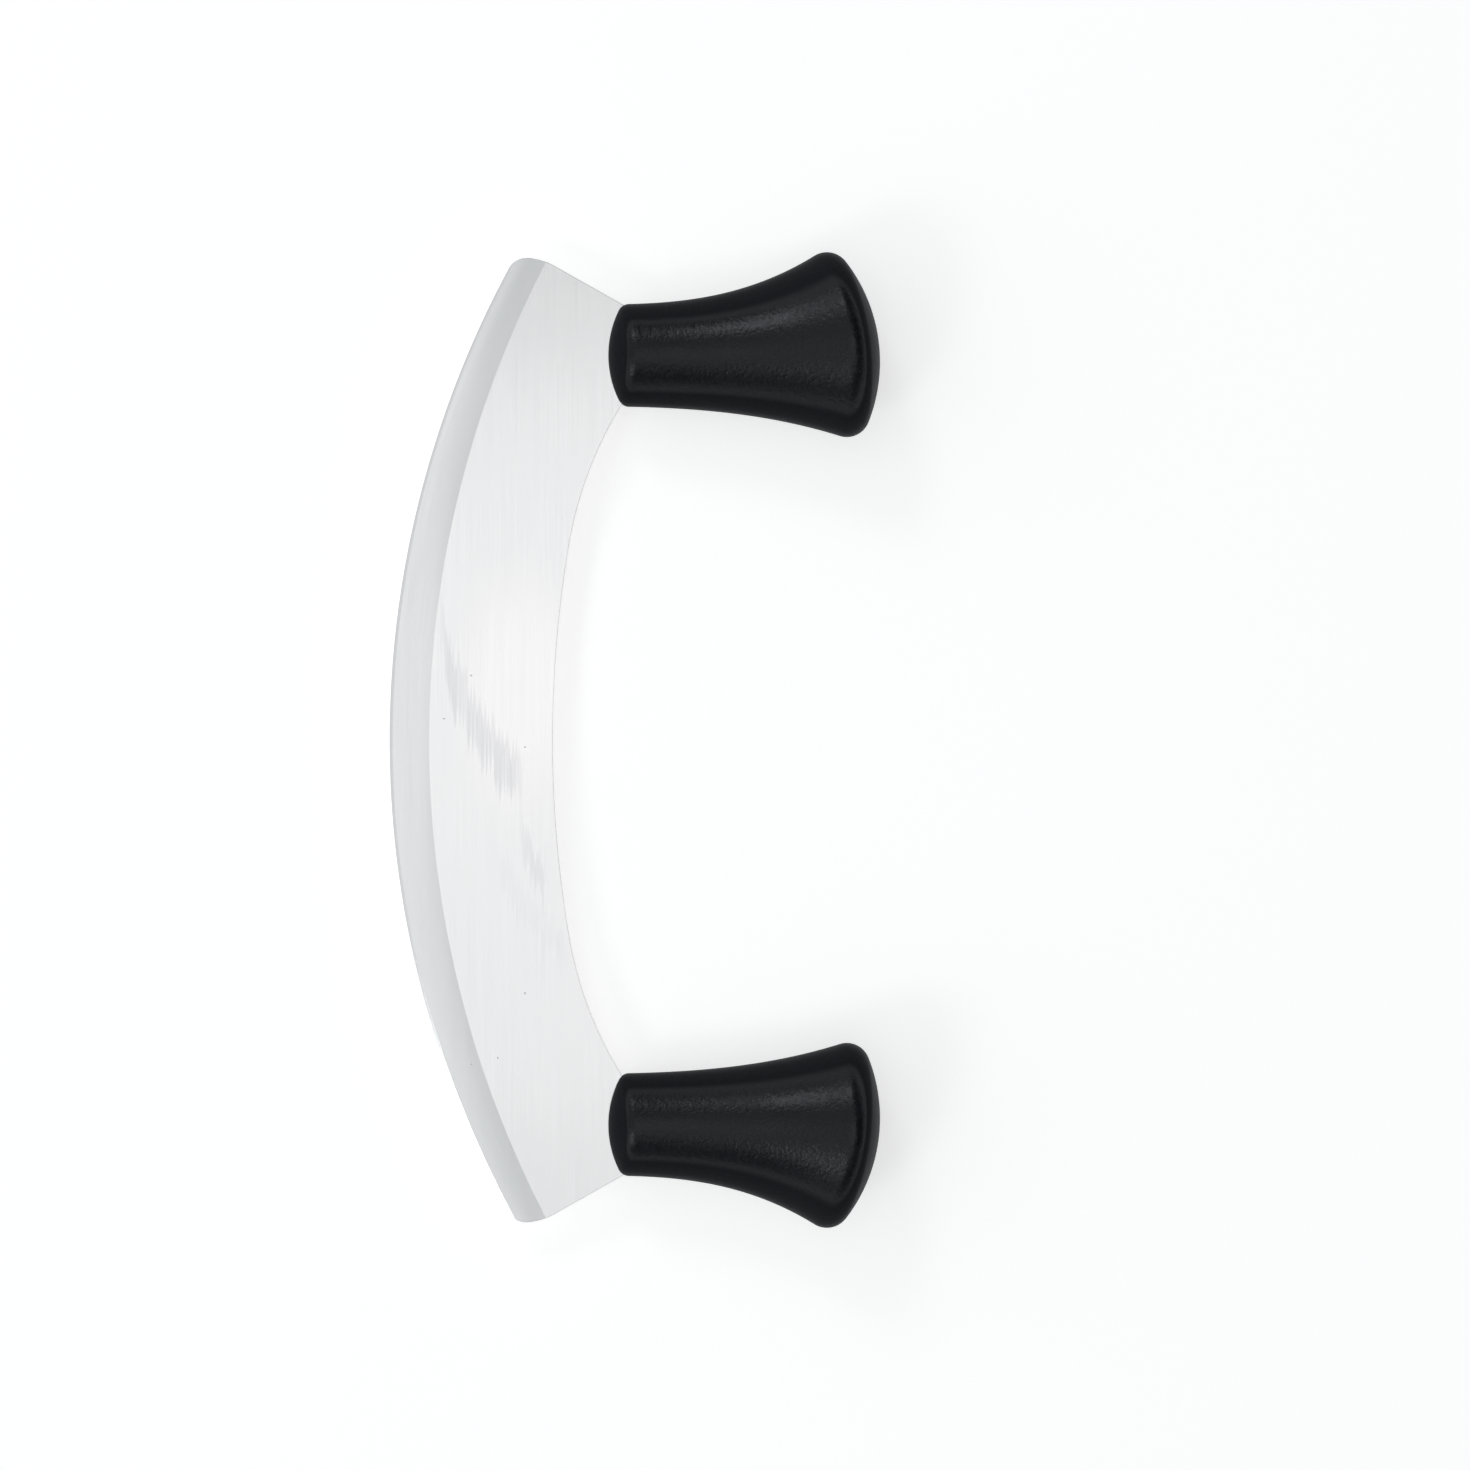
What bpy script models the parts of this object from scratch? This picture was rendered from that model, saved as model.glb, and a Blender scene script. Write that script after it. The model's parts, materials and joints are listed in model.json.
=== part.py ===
"""Mezzaluna: a curved rocking blade with a flared plastic handle at each end.

The tool is drawn flat, with the middle of its cutting edge at the origin. X runs from the edge towards
the handles, Y along the length and Z square to the blade. An empty then lays the finished tool down as it
lies on a table: it rests on the necks and the butts of both handles, and its edge stays clear of the table.
"""
import math

import bmesh
import bpy
from mathutils import Matrix, Vector
from mathutils.geometry import delaunay_2d_cdt

# Blade
BLADE_THICKNESS = 0.0015
BLADE_SPAN = 0.2468
BLADE_WIDTH = 0.0418
EDGE_RADIUS = 0.254
EDGE_LAND = 0.0002
SHARPENING_WIDTH = 0.0008
SHARPENING_ANGLE = math.radians(12.0)
GRIND_WIDTH = 0.0102
GRIND_TIP_WIDTH = 0.00786
GRIND_HOLLOW = 0.00012
TIP_ROUNDING = 0.005
END_CURVE_RADIUS = 0.016
END_CURVE_DEPTH = 0.00943
END_WIDTH = 0.036165
SPINE_ARC_SPAN = 0.100
SPINE_END_RADIUS = 0.100

# Tangs, which carry the handles
HANDLE_INSET = 0.025
SHOULDER_DEPTH = 0.0052
SHOULDER_INSET = 0.00095
SPINE_INSET = 0.0032
TANG_COVER = 0.0061
TANG_LENGTH = 0.040
TANG_ROOT_RADIUS = 0.0015
TANG_END_RADIUS = 0.003
TANG_HOLE_DIAMETER = 0.006
TANG_HOLE_SHARES = (0.34, 0.74)

# Handles
HANDLE_LENGTH = 0.0695
NECK_WIDTH = 0.0262
NECK_THICKNESS = 0.0242
NECK_START = 0.004
NECK_DOME_RADIUS = 0.026
NECK_ROUNDING = 0.003
BUTT_DOME_RADIUS = 0.0418
BUTT_DOME_OFFSET = 0.0018
OUTER_LIP_REACH = 0.0284
OUTER_LIP_ANGLE = math.radians(35.4)
OUTER_LIP_SHARE = 0.822
INNER_LIP_REACH = 0.0222
INNER_LIP_ANGLE = math.radians(19.5)
INNER_LIP_SHARE = 0.922
FACE_LIP_REACH = 0.0194
FACE_LIP_ANGLE = math.radians(12.0)
FACE_LIP_SHARE = 0.93
SIDE_RIM_ROUNDING = 0.006
FACE_RIM_ROUNDING = 0.0045
NECK_TAPER_ANGLE = math.radians(1.0)

# Grip skin and the core under it
GRIP_WALL = 0.0035
GRIP_FRONT_WALL = 0.008
CORE_FRONT_ROUNDING = 0.0015
CORE_RIM_ROUNDING = 0.0005
FIT_GAP = 0.0003

# How far a cutter or a dividing line runs past what it cuts, and the least distance between two corners
OVERRUN = 0.003
CORNER_GAP = 0.000001

# Smoothness
EDGE_STEPS = 32
SPINE_STEPS = 8
CORNER_STEPS = 6
HOLE_STEPS = 20
HOLLOW_STEPS = 4
GRIP_SIDES = 40
CORE_SIDES = 24
GRIP_STEPS = (4, 4, 12, 6, 6)
CORE_STEPS = (2, 2, 8, 3, 4)
SHARP_ANGLE = math.radians(35.0)
HALVINGS = 40

# Where the flats' faces are divided, as shares of half the span and of the width, so that they stay compact
PANEL_SHARES = (-0.62, -0.30, 0.30, 0.62)
STRIP_SHARES = (0.32, 0.90)


def clear_scene():
    for item in list(bpy.data.objects):
        bpy.data.objects.remove(item, do_unlink=True)


def make_material(name, colour, roughness, metallic):
    material = bpy.data.materials.new(name)
    material.use_nodes = True
    shader = material.node_tree.nodes["Principled BSDF"]
    shader.inputs["Base Color"].default_value = (*colour, 1.0)
    shader.inputs["Roughness"].default_value = roughness
    shader.inputs["Metallic"].default_value = metallic
    return material


def make_object(name, mesh_data, parent, material=None):
    """Turns a bmesh into a closed, outward-facing object under the given parent."""
    bmesh.ops.recalc_face_normals(mesh_data, faces=mesh_data.faces)
    mesh = bpy.data.meshes.new(name)
    mesh_data.to_mesh(mesh)
    mesh_data.free()
    mesh.shade_smooth()
    mesh.set_sharp_from_angle(angle=SHARP_ANGLE)
    item = bpy.data.objects.new(name, mesh)
    bpy.context.collection.objects.link(item)
    item.parent = parent
    if material is None:
        item.hide_render = True
        item.display_type = "WIRE"
    else:
        mesh.materials.append(material)
    return item


def cut(item, cutter):
    modifier = item.modifiers.new("cut by " + cutter.name, "BOOLEAN")
    modifier.operation = "DIFFERENCE"
    modifier.solver = "EXACT"
    modifier.object = cutter


def arc(centre, radius, start, end, steps):
    """Points on a circle from one angle to another, both ends included."""
    angles = [start + (end - start) * step / steps for step in range(steps + 1)]
    return [centre + radius * Vector((math.cos(angle), math.sin(angle))) for angle in angles]


def angle_of(point, centre):
    return math.atan2(point.y - centre.y, point.x - centre.x)


def upper_crossing(centre_a, radius_a, centre_b, radius_b):
    """The crossing of two circles that lies further along Y."""
    gap = centre_b - centre_a
    along = (radius_a ** 2 - radius_b ** 2 + gap.length_squared) / (2.0 * gap.length)
    across = math.sqrt(radius_a ** 2 - along ** 2)
    foot = centre_a + gap.normalized() * along
    offset = Vector((-gap.y, gap.x)).normalized() * across
    return max(foot + offset, foot - offset, key=lambda point: point.y)


def nose_point():
    """The left handle's nose on the blade's middle plane, the end's width in from the cutting edge."""
    reach = BLADE_SPAN / 2.0 - HANDLE_INSET
    rise = EDGE_RADIUS - math.sqrt(EDGE_RADIUS ** 2 - reach ** 2)
    return Vector((rise + END_WIDTH, reach))


def tang_outline(gap):
    """One side of a tang, from its shoulder to its end, in the handle's own frame, widened by a gap."""
    half = NECK_WIDTH / 2.0 - TANG_COVER
    root = Vector((SHOULDER_DEPTH + TANG_ROOT_RADIUS, half + TANG_ROOT_RADIUS))
    end = Vector((SHOULDER_DEPTH + TANG_LENGTH - TANG_END_RADIUS, half - TANG_END_RADIUS))
    points = arc(root, TANG_ROOT_RADIUS - gap, -math.pi, -math.pi / 2.0, CORNER_STEPS)
    points += arc(end, TANG_END_RADIUS + gap, math.pi / 2.0, 0.0, CORNER_STEPS)
    return points


def mirrored(points):
    """The same points on the other side of the X axis, in the opposite order."""
    return [Vector((point.x, -point.y)) for point in reversed(points)]


def plate(outlines, thickness):
    """Flat plates of one thickness, one for each outline, centred on the blade's middle plane."""
    mesh_data = bmesh.new()
    for outline in outlines:
        corners = [mesh_data.verts.new((point.x, point.y, -thickness / 2.0)) for point in outline]
        mesh_data.faces.new(corners)
    raised = bmesh.ops.extrude_face_region(mesh_data, geom=mesh_data.faces[:])
    top = [part for part in raised["geom"] if isinstance(part, bmesh.types.BMVert)]
    bmesh.ops.translate(mesh_data, verts=top, vec=(0.0, 0.0, thickness))
    return mesh_data


def hole_outlines(nose, diameter):
    """Circles for the holes of the tang behind a handle's nose."""
    centres = [nose + Vector((SHOULDER_DEPTH + share * TANG_LENGTH, 0.0)) for share in TANG_HOLE_SHARES]
    return [arc(centre, diameter / 2.0, 0.0, math.tau, HOLE_STEPS)[:-1] for centre in centres]


def edge_end_angle():
    """Half of the cutting edge's arc, from its middle to where a tip's rounding starts."""
    centre, _ = tip_circles()
    return math.atan2(centre.y, EDGE_RADIUS - centre.x)


def tip_circles():
    """Centres of a tip's rounding and of the longer curve that leads from it to the straight end edge."""
    height = BLADE_SPAN / 2.0 - END_CURVE_RADIUS
    depth_line = EDGE_RADIUS - END_CURVE_DEPTH
    end_centre = Vector((EDGE_RADIUS - math.sqrt(depth_line ** 2 - height ** 2), height))
    edge_centre = Vector((EDGE_RADIUS, 0.0))
    tip_centre = upper_crossing(
        edge_centre, EDGE_RADIUS - TIP_ROUNDING, end_centre, END_CURVE_RADIUS - TIP_ROUNDING)
    return tip_centre, end_centre


def half_blade_outline():
    """The blade's outline with Y above zero, from the middle of its edge to the middle of its spine."""
    edge_centre = Vector((EDGE_RADIUS, 0.0))
    tip_centre, end_centre = tip_circles()
    tip_start = math.pi - edge_end_angle()
    tip_end = angle_of(tip_centre, end_centre)
    nose = nose_point()
    shoulder = nose + Vector((SHOULDER_DEPTH, NECK_WIDTH / 2.0 - SHOULDER_INSET))
    run = (shoulder - end_centre).length
    touch = angle_of(shoulder, end_centre) + math.acos(END_CURVE_RADIUS / run)
    points = arc(edge_centre, EDGE_RADIUS, math.pi, tip_start, EDGE_STEPS // 2)
    points += arc(tip_centre, TIP_ROUNDING, tip_start, tip_end, CORNER_STEPS)[1:]
    points += arc(end_centre, END_CURVE_RADIUS, tip_end, touch, CORNER_STEPS)[1:]
    points.append(shoulder)
    side = tang_outline(0.0)
    points += [nose + point for point in side + mirrored(side)]
    return points + spine_points()


def spine_end_centre(turn):
    """The centre of the spine's tight arc, if the wide arc turns by the given angle up to their joint."""
    half = SPINE_ARC_SPAN / 2.0
    joint = Vector((BLADE_WIDTH + half * math.tan(turn / 2.0), half))
    return joint + SPINE_END_RADIUS * Vector((math.cos(turn), -math.sin(turn)))


def spine_points():
    """The concave back of the blade, from a handle's shoulder to the middle: a tight arc, then a wide one.

    The more the wide arc turns, the further the tight one passes above the shoulder, so halving finds it.
    """
    shoulder = nose_point() + Vector((SHOULDER_DEPTH, SPINE_INSET - NECK_WIDTH / 2.0))
    low, high = 0.0, math.pi / 2.0
    for _ in range(HALVINGS):
        turn = (low + high) / 2.0
        tight_centre = spine_end_centre(turn)
        if (shoulder - tight_centre).length < SPINE_END_RADIUS:
            low = turn
        else:
            high = turn
    start = angle_of(shoulder, tight_centre)
    tight = arc(tight_centre, SPINE_END_RADIUS, start, math.pi - turn, SPINE_STEPS)
    wide_radius = SPINE_ARC_SPAN / 2.0 / math.sin(turn)
    wide_centre = Vector((BLADE_WIDTH + wide_radius, 0.0))
    wide = arc(wide_centre, wide_radius, math.pi - turn, math.pi, SPINE_STEPS)
    return tight + wide[1:]


def grind_section():
    """The ground face in section: distance in from the cutting edge, and height above the middle plane."""
    half = BLADE_THICKNESS / 2.0
    start = EDGE_LAND / 2.0 + SHARPENING_WIDTH * math.tan(SHARPENING_ANGLE)
    section = [(0.0, EDGE_LAND / 2.0)]
    for step in range(HOLLOW_STEPS + 1):
        share = step / HOLLOW_STEPS
        distance = SHARPENING_WIDTH + (GRIND_WIDTH - SHARPENING_WIDTH) * share
        height = start + (half - start) * share - 4.0 * GRIND_HOLLOW * share * (1.0 - share)
        section.append((distance, height))
    return section


def grind_stretch(angle):
    """The grind's width at an angle along the cutting edge, as a share of its width in the middle."""
    narrowing = 1.0 - GRIND_TIP_WIDTH / GRIND_WIDTH
    return 1.0 - narrowing * (1.0 - math.cos(angle)) / (1.0 - math.cos(edge_end_angle()))


def grind_line(distance):
    """A line along the ground face at one distance in from the cutting edge, running past both tips."""
    turn = edge_end_angle()
    last = math.asin((BLADE_SPAN / 2.0 + OVERRUN) / (EDGE_RADIUS - GRIND_WIDTH))
    angles = [turn * (2.0 * step / EDGE_STEPS - 1.0) for step in range(EDGE_STEPS + 1)]
    points = []
    for angle in [-last] + angles + [last]:
        radius = EDGE_RADIUS - distance * grind_stretch(angle)
        points.append(Vector((EDGE_RADIUS - radius * math.cos(angle), radius * math.sin(angle))))
    return points


def half_thickness(point):
    """The height of the blade's face above its middle plane at a point."""
    offset = point - Vector((EDGE_RADIUS, 0.0))
    angle = math.atan2(offset.y, -offset.x)
    distance = (EDGE_RADIUS - offset.length) / grind_stretch(angle)
    section = grind_section()
    for (near, low), (far, high) in zip(section, section[1:]):
        if distance < far:
            return low + (high - low) * (distance - near) / (far - near)
    return BLADE_THICKNESS / 2.0


def dividing_lines():
    """Straight lines across the blade that keep the faces of its flats compact."""
    reach = BLADE_SPAN / 2.0 + OVERRUN
    depth = nose_point().x + SHOULDER_DEPTH + TANG_LENGTH + OVERRUN
    across = [share * BLADE_SPAN / 2.0 for share in PANEL_SHARES]
    along = [share * BLADE_WIDTH for share in STRIP_SHARES]
    lines = [(Vector((-OVERRUN, place)), Vector((depth, place))) for place in across]
    return lines + [(Vector((place, -reach)), Vector((place, reach))) for place in along]


def blade_triangles():
    """Corners and triangles that fill the blade's outline round its holes and keep to the grind's lines.

    Each loop runs anticlockwise. A triangle's sources are the loops round it, the outline being number zero.
    """
    half = half_blade_outline()
    nose = nose_point()
    loops = [(half + mirrored(half)[1:-1])[::-1]]
    loops += hole_outlines(nose, TANG_HOLE_DIAMETER)
    loops += hole_outlines(Vector((nose.x, -nose.y)), TANG_HOLE_DIAMETER)
    lines = [grind_line(distance) for distance, _ in grind_section()[1:]] + dividing_lines()
    points, edges, faces = [], [], []
    for loop in loops:
        faces.append([len(points) + index for index in range(len(loop))])
        points += loop
    for line in lines:
        edges += [(len(points) + index, len(points) + index + 1) for index in range(len(line) - 1)]
        points += line
    corners, _, triangles, _, _, sources = delaunay_2d_cdt(points, edges, faces, 0, CORNER_GAP)
    return corners, [triangle for triangle, source in zip(triangles, sources) if source == [0]]


def blade_mesh():
    """The blade's sheet: its triangles on both faces, at the grind's height, and a wall round each rim."""
    corners, sheet = blade_triangles()
    mesh_data = bmesh.new()
    used = sorted({index for triangle in sheet for index in triangle})
    heights = {index: half_thickness(corners[index]) for index in used}
    top = {index: mesh_data.verts.new((*corners[index], heights[index])) for index in used}
    bottom = {index: mesh_data.verts.new((*corners[index], -heights[index])) for index in used}
    rims = set()
    for triangle in sheet:
        mesh_data.faces.new([top[index] for index in triangle])
        mesh_data.faces.new([bottom[index] for index in reversed(triangle)])
        for pair in zip(triangle, triangle[1:] + triangle[:1]):
            rims ^= {tuple(sorted(pair))}
    for first, second in sorted(rims):
        mesh_data.faces.new((top[first], top[second], bottom[second], bottom[first]))
    return mesh_data


def skin_rings(mesh_data, rings):
    """Quads between each closed ring of points and the next."""
    for ring, following in zip(rings, rings[1:]):
        for index in range(len(ring)):
            after = (index + 1) % len(ring)
            mesh_data.faces.new((ring[index], ring[after], following[after], following[index]))


def flare_point(flare, position):
    """A point on a handle's flare, a cubic from neck to lip, and the direction out of the plastic there."""
    start, start_reach, start_slope, end, end_reach, end_slope = flare
    run = end - start
    square = position ** 2
    cube = position ** 3
    start_weight = 2.0 * cube - 3.0 * square + 1.0
    reach = start_weight * start_reach + (1.0 - start_weight) * end_reach
    reach += run * ((cube - 2.0 * square + position) * start_slope + (cube - square) * end_slope)
    slope = (6.0 * square - 6.0 * position) * (start_reach - end_reach) / run
    slope += (3.0 * square - 4.0 * position + 1.0) * start_slope
    slope += (3.0 * square - 2.0 * position) * end_slope
    return Vector((start + run * position, reach)), Vector((-slope, 1.0)).normalized()


def corner_centre(flare, depth, dome_centre, distance, low, high):
    """The centre of a corner's rounding, a depth below the flare and a distance from the dome's centre.

    Between the positions low and high on the flare that distance is passed once, so halving finds it.
    """
    for _ in range(HALVINGS):
        middle = (low + high) / 2.0
        point, outward = flare_point(flare, middle)
        if (point - outward * depth - dome_centre).length < distance:
            low = middle
        else:
            high = middle
    return middle, point - outward * depth, outward


def handle_profile(flare, rim_rounding, dome_offset, hollow, steps):
    """One silhouette of the handle from the nose to the butt, or that of the hollow under the grip's skin.

    hollow is the depth below the grip's surface, or zero for the surface itself.
    """
    nose_radius = NECK_DOME_RADIUS
    nose_centre = Vector((NECK_DOME_RADIUS, 0.0))
    nose_depth = NECK_ROUNDING
    if hollow:
        nose_radius -= hollow - GRIP_WALL
        nose_centre.x += GRIP_FRONT_WALL
        nose_depth = GRIP_WALL + CORE_FRONT_ROUNDING
        rim_rounding = max(rim_rounding, hollow + CORE_RIM_ROUNDING)
    butt_centre = Vector((HANDLE_LENGTH - BUTT_DOME_RADIUS, dome_offset))
    rounding = nose_depth - hollow
    first, centre, outward = corner_centre(flare, nose_depth, nose_centre, nose_radius - rounding, 0.5, -1.0)
    turn = angle_of(centre, nose_centre)
    points = arc(nose_centre, nose_radius, math.pi, turn, steps[0])
    points += arc(centre, rounding, turn, math.atan2(outward.y, outward.x), steps[1])[1:]
    last, centre, outward = corner_centre(
        flare, rim_rounding, butt_centre, BUTT_DOME_RADIUS - rim_rounding, 0.0, 2.0)
    for step in range(1, steps[2]):
        point, direction = flare_point(flare, first + (last - first) * step / steps[2])
        points.append(point - direction * hollow)
    turn = angle_of(centre, butt_centre)
    points += arc(centre, rim_rounding - hollow, math.atan2(outward.y, outward.x), turn, steps[3])
    points += arc(butt_centre, BUTT_DOME_RADIUS - hollow, turn, 0.0, steps[4])[1:]
    return points


def handle_mesh(side, hollow, steps, sides):
    """A handle's solid: rings that follow its outer, inner and face silhouettes, closed at nose and butt."""
    taper = math.tan(NECK_TAPER_ANGLE)
    neck = (NECK_START, NECK_WIDTH / 2.0, taper)
    outer_flare = neck + (HANDLE_LENGTH * OUTER_LIP_SHARE, OUTER_LIP_REACH, math.tan(OUTER_LIP_ANGLE))
    inner_flare = neck + (HANDLE_LENGTH * INNER_LIP_SHARE, INNER_LIP_REACH, math.tan(INNER_LIP_ANGLE))
    neck_face = (NECK_START, NECK_THICKNESS / 2.0, taper)
    face_flare = neck_face + (HANDLE_LENGTH * FACE_LIP_SHARE, FACE_LIP_REACH, math.tan(FACE_LIP_ANGLE))
    outer = handle_profile(outer_flare, SIDE_RIM_ROUNDING, -BUTT_DOME_OFFSET, hollow, steps)
    inner = handle_profile(inner_flare, SIDE_RIM_ROUNDING, BUTT_DOME_OFFSET, hollow, steps)
    face = handle_profile(face_flare, FACE_RIM_ROUNDING, 0.0, hollow, steps)
    mesh_data = bmesh.new()
    nose = mesh_data.verts.new((outer[0].x, side * outer[0].y, 0.0))
    butt = mesh_data.verts.new((outer[-1].x, side * outer[-1].y, 0.0))
    rings = []
    for out, back, front in zip(outer[1:-1], inner[1:-1], face[1:-1]):
        ring = []
        for index in range(sides):
            turn = math.tau * index / sides
            middle = (out.x + back.x) / 2.0
            along = middle + (out.x - back.x) / 2.0 * math.cos(turn)
            along += (front.x - middle) * math.sin(turn) ** 2
            across = (out.y - back.y) / 2.0 + (out.y + back.y) / 2.0 * math.cos(turn)
            ring.append(mesh_data.verts.new((along, side * across, front.y * math.sin(turn))))
        rings.append(ring)
    skin_rings(mesh_data, rings)
    for index in range(sides):
        after = (index + 1) % sides
        mesh_data.faces.new((nose, rings[0][index], rings[0][after]))
        mesh_data.faces.new((butt, rings[-1][after], rings[-1][index]))
    return mesh_data


def tang_clearance_outline():
    """The blade's shoulders and tang with a gap round them, open to both sides and the front of the neck."""
    reach = NECK_WIDTH / 2.0 + OVERRUN
    side = tang_outline(FIT_GAP)
    front = [Vector((-OVERRUN, reach)), Vector((SHOULDER_DEPTH + FIT_GAP, reach))]
    return front + side + mirrored(side) + mirrored(front)


def build_handle(name, side, parent, grip_material, core_material):
    """A moulded core locked on the tang through its holes, and the grip's skin moulded round the core."""
    grip = make_object(name + "_grip", handle_mesh(side, 0.0, GRIP_STEPS, GRIP_SIDES), parent, grip_material)
    core_depth = GRIP_WALL + FIT_GAP
    core = make_object(
        name + "_core", handle_mesh(side, core_depth, CORE_STEPS, CORE_SIDES), parent, core_material)
    hollow = make_object(
        name + "_hollow_cutter", handle_mesh(side, GRIP_WALL, CORE_STEPS, CORE_SIDES), parent)
    clearance = plate([tang_clearance_outline()], BLADE_THICKNESS + 2.0 * FIT_GAP)
    tang_cutter = make_object(name + "_tang_cutter", clearance, parent)
    pins = hole_outlines(Vector((0.0, 0.0)), TANG_HOLE_DIAMETER - 2.0 * FIT_GAP)
    pin_cutter = make_object(name + "_pin_cutter", plate(pins, BLADE_THICKNESS + 2.0 * OVERRUN), parent)
    cut(tang_cutter, pin_cutter)
    cut(grip, hollow)
    cut(grip, tang_cutter)
    cut(core, tang_cutter)
    for item in (grip, core, hollow, tang_cutter, pin_cutter):
        item.location = (nose_point().x, side * nose_point().y, 0.0)
    return [grip, core]


def lay_down(frame, pieces):
    """Tips the tool until the necks and the butts of its handles touch the table, then centres it there."""
    bpy.context.view_layer.update()
    depsgraph = bpy.context.evaluated_depsgraph_get()
    points = []
    for piece in pieces:
        evaluated = piece.evaluated_get(depsgraph)
        points += [piece.matrix_world @ vertex.co for vertex in evaluated.data.vertices]
    nose = nose_point().x
    middle = nose + HANDLE_LENGTH / 2.0
    necks = [point for point in points if nose < point.x < middle and point.z < 0.0]
    butts = [point for point in points if point.x > middle and point.z < 0.0]
    low, high = 0.0, math.pi / 4.0
    for _ in range(HALVINGS):
        tilt = (low + high) / 2.0
        neck_depth = max(-point.z * math.cos(tilt) - point.x * math.sin(tilt) for point in necks)
        butt_depth = max(-point.z * math.cos(tilt) - point.x * math.sin(tilt) for point in butts)
        if butt_depth > neck_depth:
            low = tilt
        else:
            high = tilt
    turned = [Matrix.Rotation(-tilt, 3, "Y") @ point for point in points]
    lowest = [min(point[axis] for point in turned) for axis in range(3)]
    highest = [max(point[axis] for point in turned) for axis in range(3)]
    frame.rotation_euler = (0.0, -tilt, 0.0)
    frame.location = (-(lowest[0] + highest[0]) / 2.0, -(lowest[1] + highest[1]) / 2.0, -lowest[2])


def main():
    clear_scene()
    frame = bpy.data.objects.new("resting_frame", None)
    bpy.context.collection.objects.link(frame)
    steel = make_material("satin steel", (0.78, 0.79, 0.80), 0.30, 1.0)
    black = make_material("black grained plastic", (0.014, 0.015, 0.018), 0.48, 0.0)
    grey = make_material("grey core plastic", (0.12, 0.12, 0.13), 0.55, 0.0)
    pieces = [make_object("blade", blade_mesh(), frame, steel)]
    pieces += build_handle("left", 1.0, frame, black, grey)
    pieces += build_handle("right", -1.0, frame, black, grey)
    lay_down(frame, pieces)


main()
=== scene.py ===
"""The mezzaluna dressed for its picture: it lies on a pale floor under soft studio light.

The blade and both grips are made again as fine meshes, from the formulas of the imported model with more
steps. Lengths are in metres. The tool's own frame has its origin at the middle of the cutting edge, X
towards the handles, Y along the length and Z square to the blade.
"""
import json
import math
from types import SimpleNamespace

import bmesh
import bpy
import numpy as np
from mathutils import Matrix, Vector
from mathutils.geometry import delaunay_2d_cdt


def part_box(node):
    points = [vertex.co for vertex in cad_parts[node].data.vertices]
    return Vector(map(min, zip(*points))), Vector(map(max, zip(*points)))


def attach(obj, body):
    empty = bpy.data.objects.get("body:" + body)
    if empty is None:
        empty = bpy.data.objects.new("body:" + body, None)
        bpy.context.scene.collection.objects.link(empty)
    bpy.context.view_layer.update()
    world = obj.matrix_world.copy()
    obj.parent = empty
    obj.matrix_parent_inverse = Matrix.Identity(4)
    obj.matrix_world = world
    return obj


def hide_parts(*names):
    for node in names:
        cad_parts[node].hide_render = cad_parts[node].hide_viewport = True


# Blade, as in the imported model
BLADE_THICKNESS = 0.0015
BLADE_SPAN = 0.2468
BLADE_WIDTH = 0.0418
EDGE_RADIUS = 0.254
EDGE_LAND = 0.0002
SHARPENING_WIDTH = 0.0008
SHARPENING_ANGLE = math.radians(12.0)
GRIND_WIDTH = 0.0102
GRIND_TIP_WIDTH = 0.00786
GRIND_HOLLOW = 0.00012
TIP_ROUNDING = 0.005
END_CURVE_RADIUS = 0.016
END_CURVE_DEPTH = 0.00943
END_WIDTH = 0.036165
SPINE_ARC_SPAN = 0.100
SPINE_END_RADIUS = 0.100

# Tangs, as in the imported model
HANDLE_INSET = 0.025
SHOULDER_DEPTH = 0.0052
SHOULDER_INSET = 0.00095
SPINE_INSET = 0.0032
TANG_COVER = 0.0061
TANG_LENGTH = 0.040
TANG_ROOT_RADIUS = 0.0015
TANG_END_RADIUS = 0.003
TANG_HOLE_DIAMETER = 0.006
TANG_HOLE_SHARES = (0.34, 0.74)

# Handles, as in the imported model
HANDLE_LENGTH = 0.0695
NECK_WIDTH = 0.0262
NECK_THICKNESS = 0.0242
NECK_START = 0.004
NECK_DOME_RADIUS = 0.026
NECK_ROUNDING = 0.003
BUTT_DOME_RADIUS = 0.0418
BUTT_DOME_OFFSET = 0.0018
OUTER_LIP_REACH = 0.0284
OUTER_LIP_ANGLE = math.radians(35.4)
OUTER_LIP_SHARE = 0.822
INNER_LIP_REACH = 0.0222
INNER_LIP_ANGLE = math.radians(19.5)
INNER_LIP_SHARE = 0.922
FACE_LIP_REACH = 0.0194
FACE_LIP_ANGLE = math.radians(12.0)
FACE_LIP_SHARE = 0.93
SIDE_RIM_ROUNDING = 0.006
FACE_RIM_ROUNDING = 0.0045
NECK_TAPER_ANGLE = math.radians(1.0)
GRIP_WALL = 0.0035
GRIP_FRONT_WALL = 0.008
CORE_FRONT_ROUNDING = 0.0015
CORE_RIM_ROUNDING = 0.0005

# Fine detail that only the dressed model has
FACE_DOME_RADIUS = 0.0153
FACE_NOSE_ROUNDING = 0.005
NOSE_CREASE_ANGLE = math.radians(28.0)
CREASE_GUARD = 0.00012
KEEN_LAND = 0.00003
RIM_ROUNDING = 0.0001
RIM_ROUNDING_SHARE = 0.4
RIM_GUARD = 0.0001

# Gaps of the cuts, and tolerances of the fine meshes
SLOT_GAP = 0.00005
OVERRUN = 0.003
CORNER_GAP = 0.0000005
CREASE_TOLERANCE = 0.000002

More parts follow.
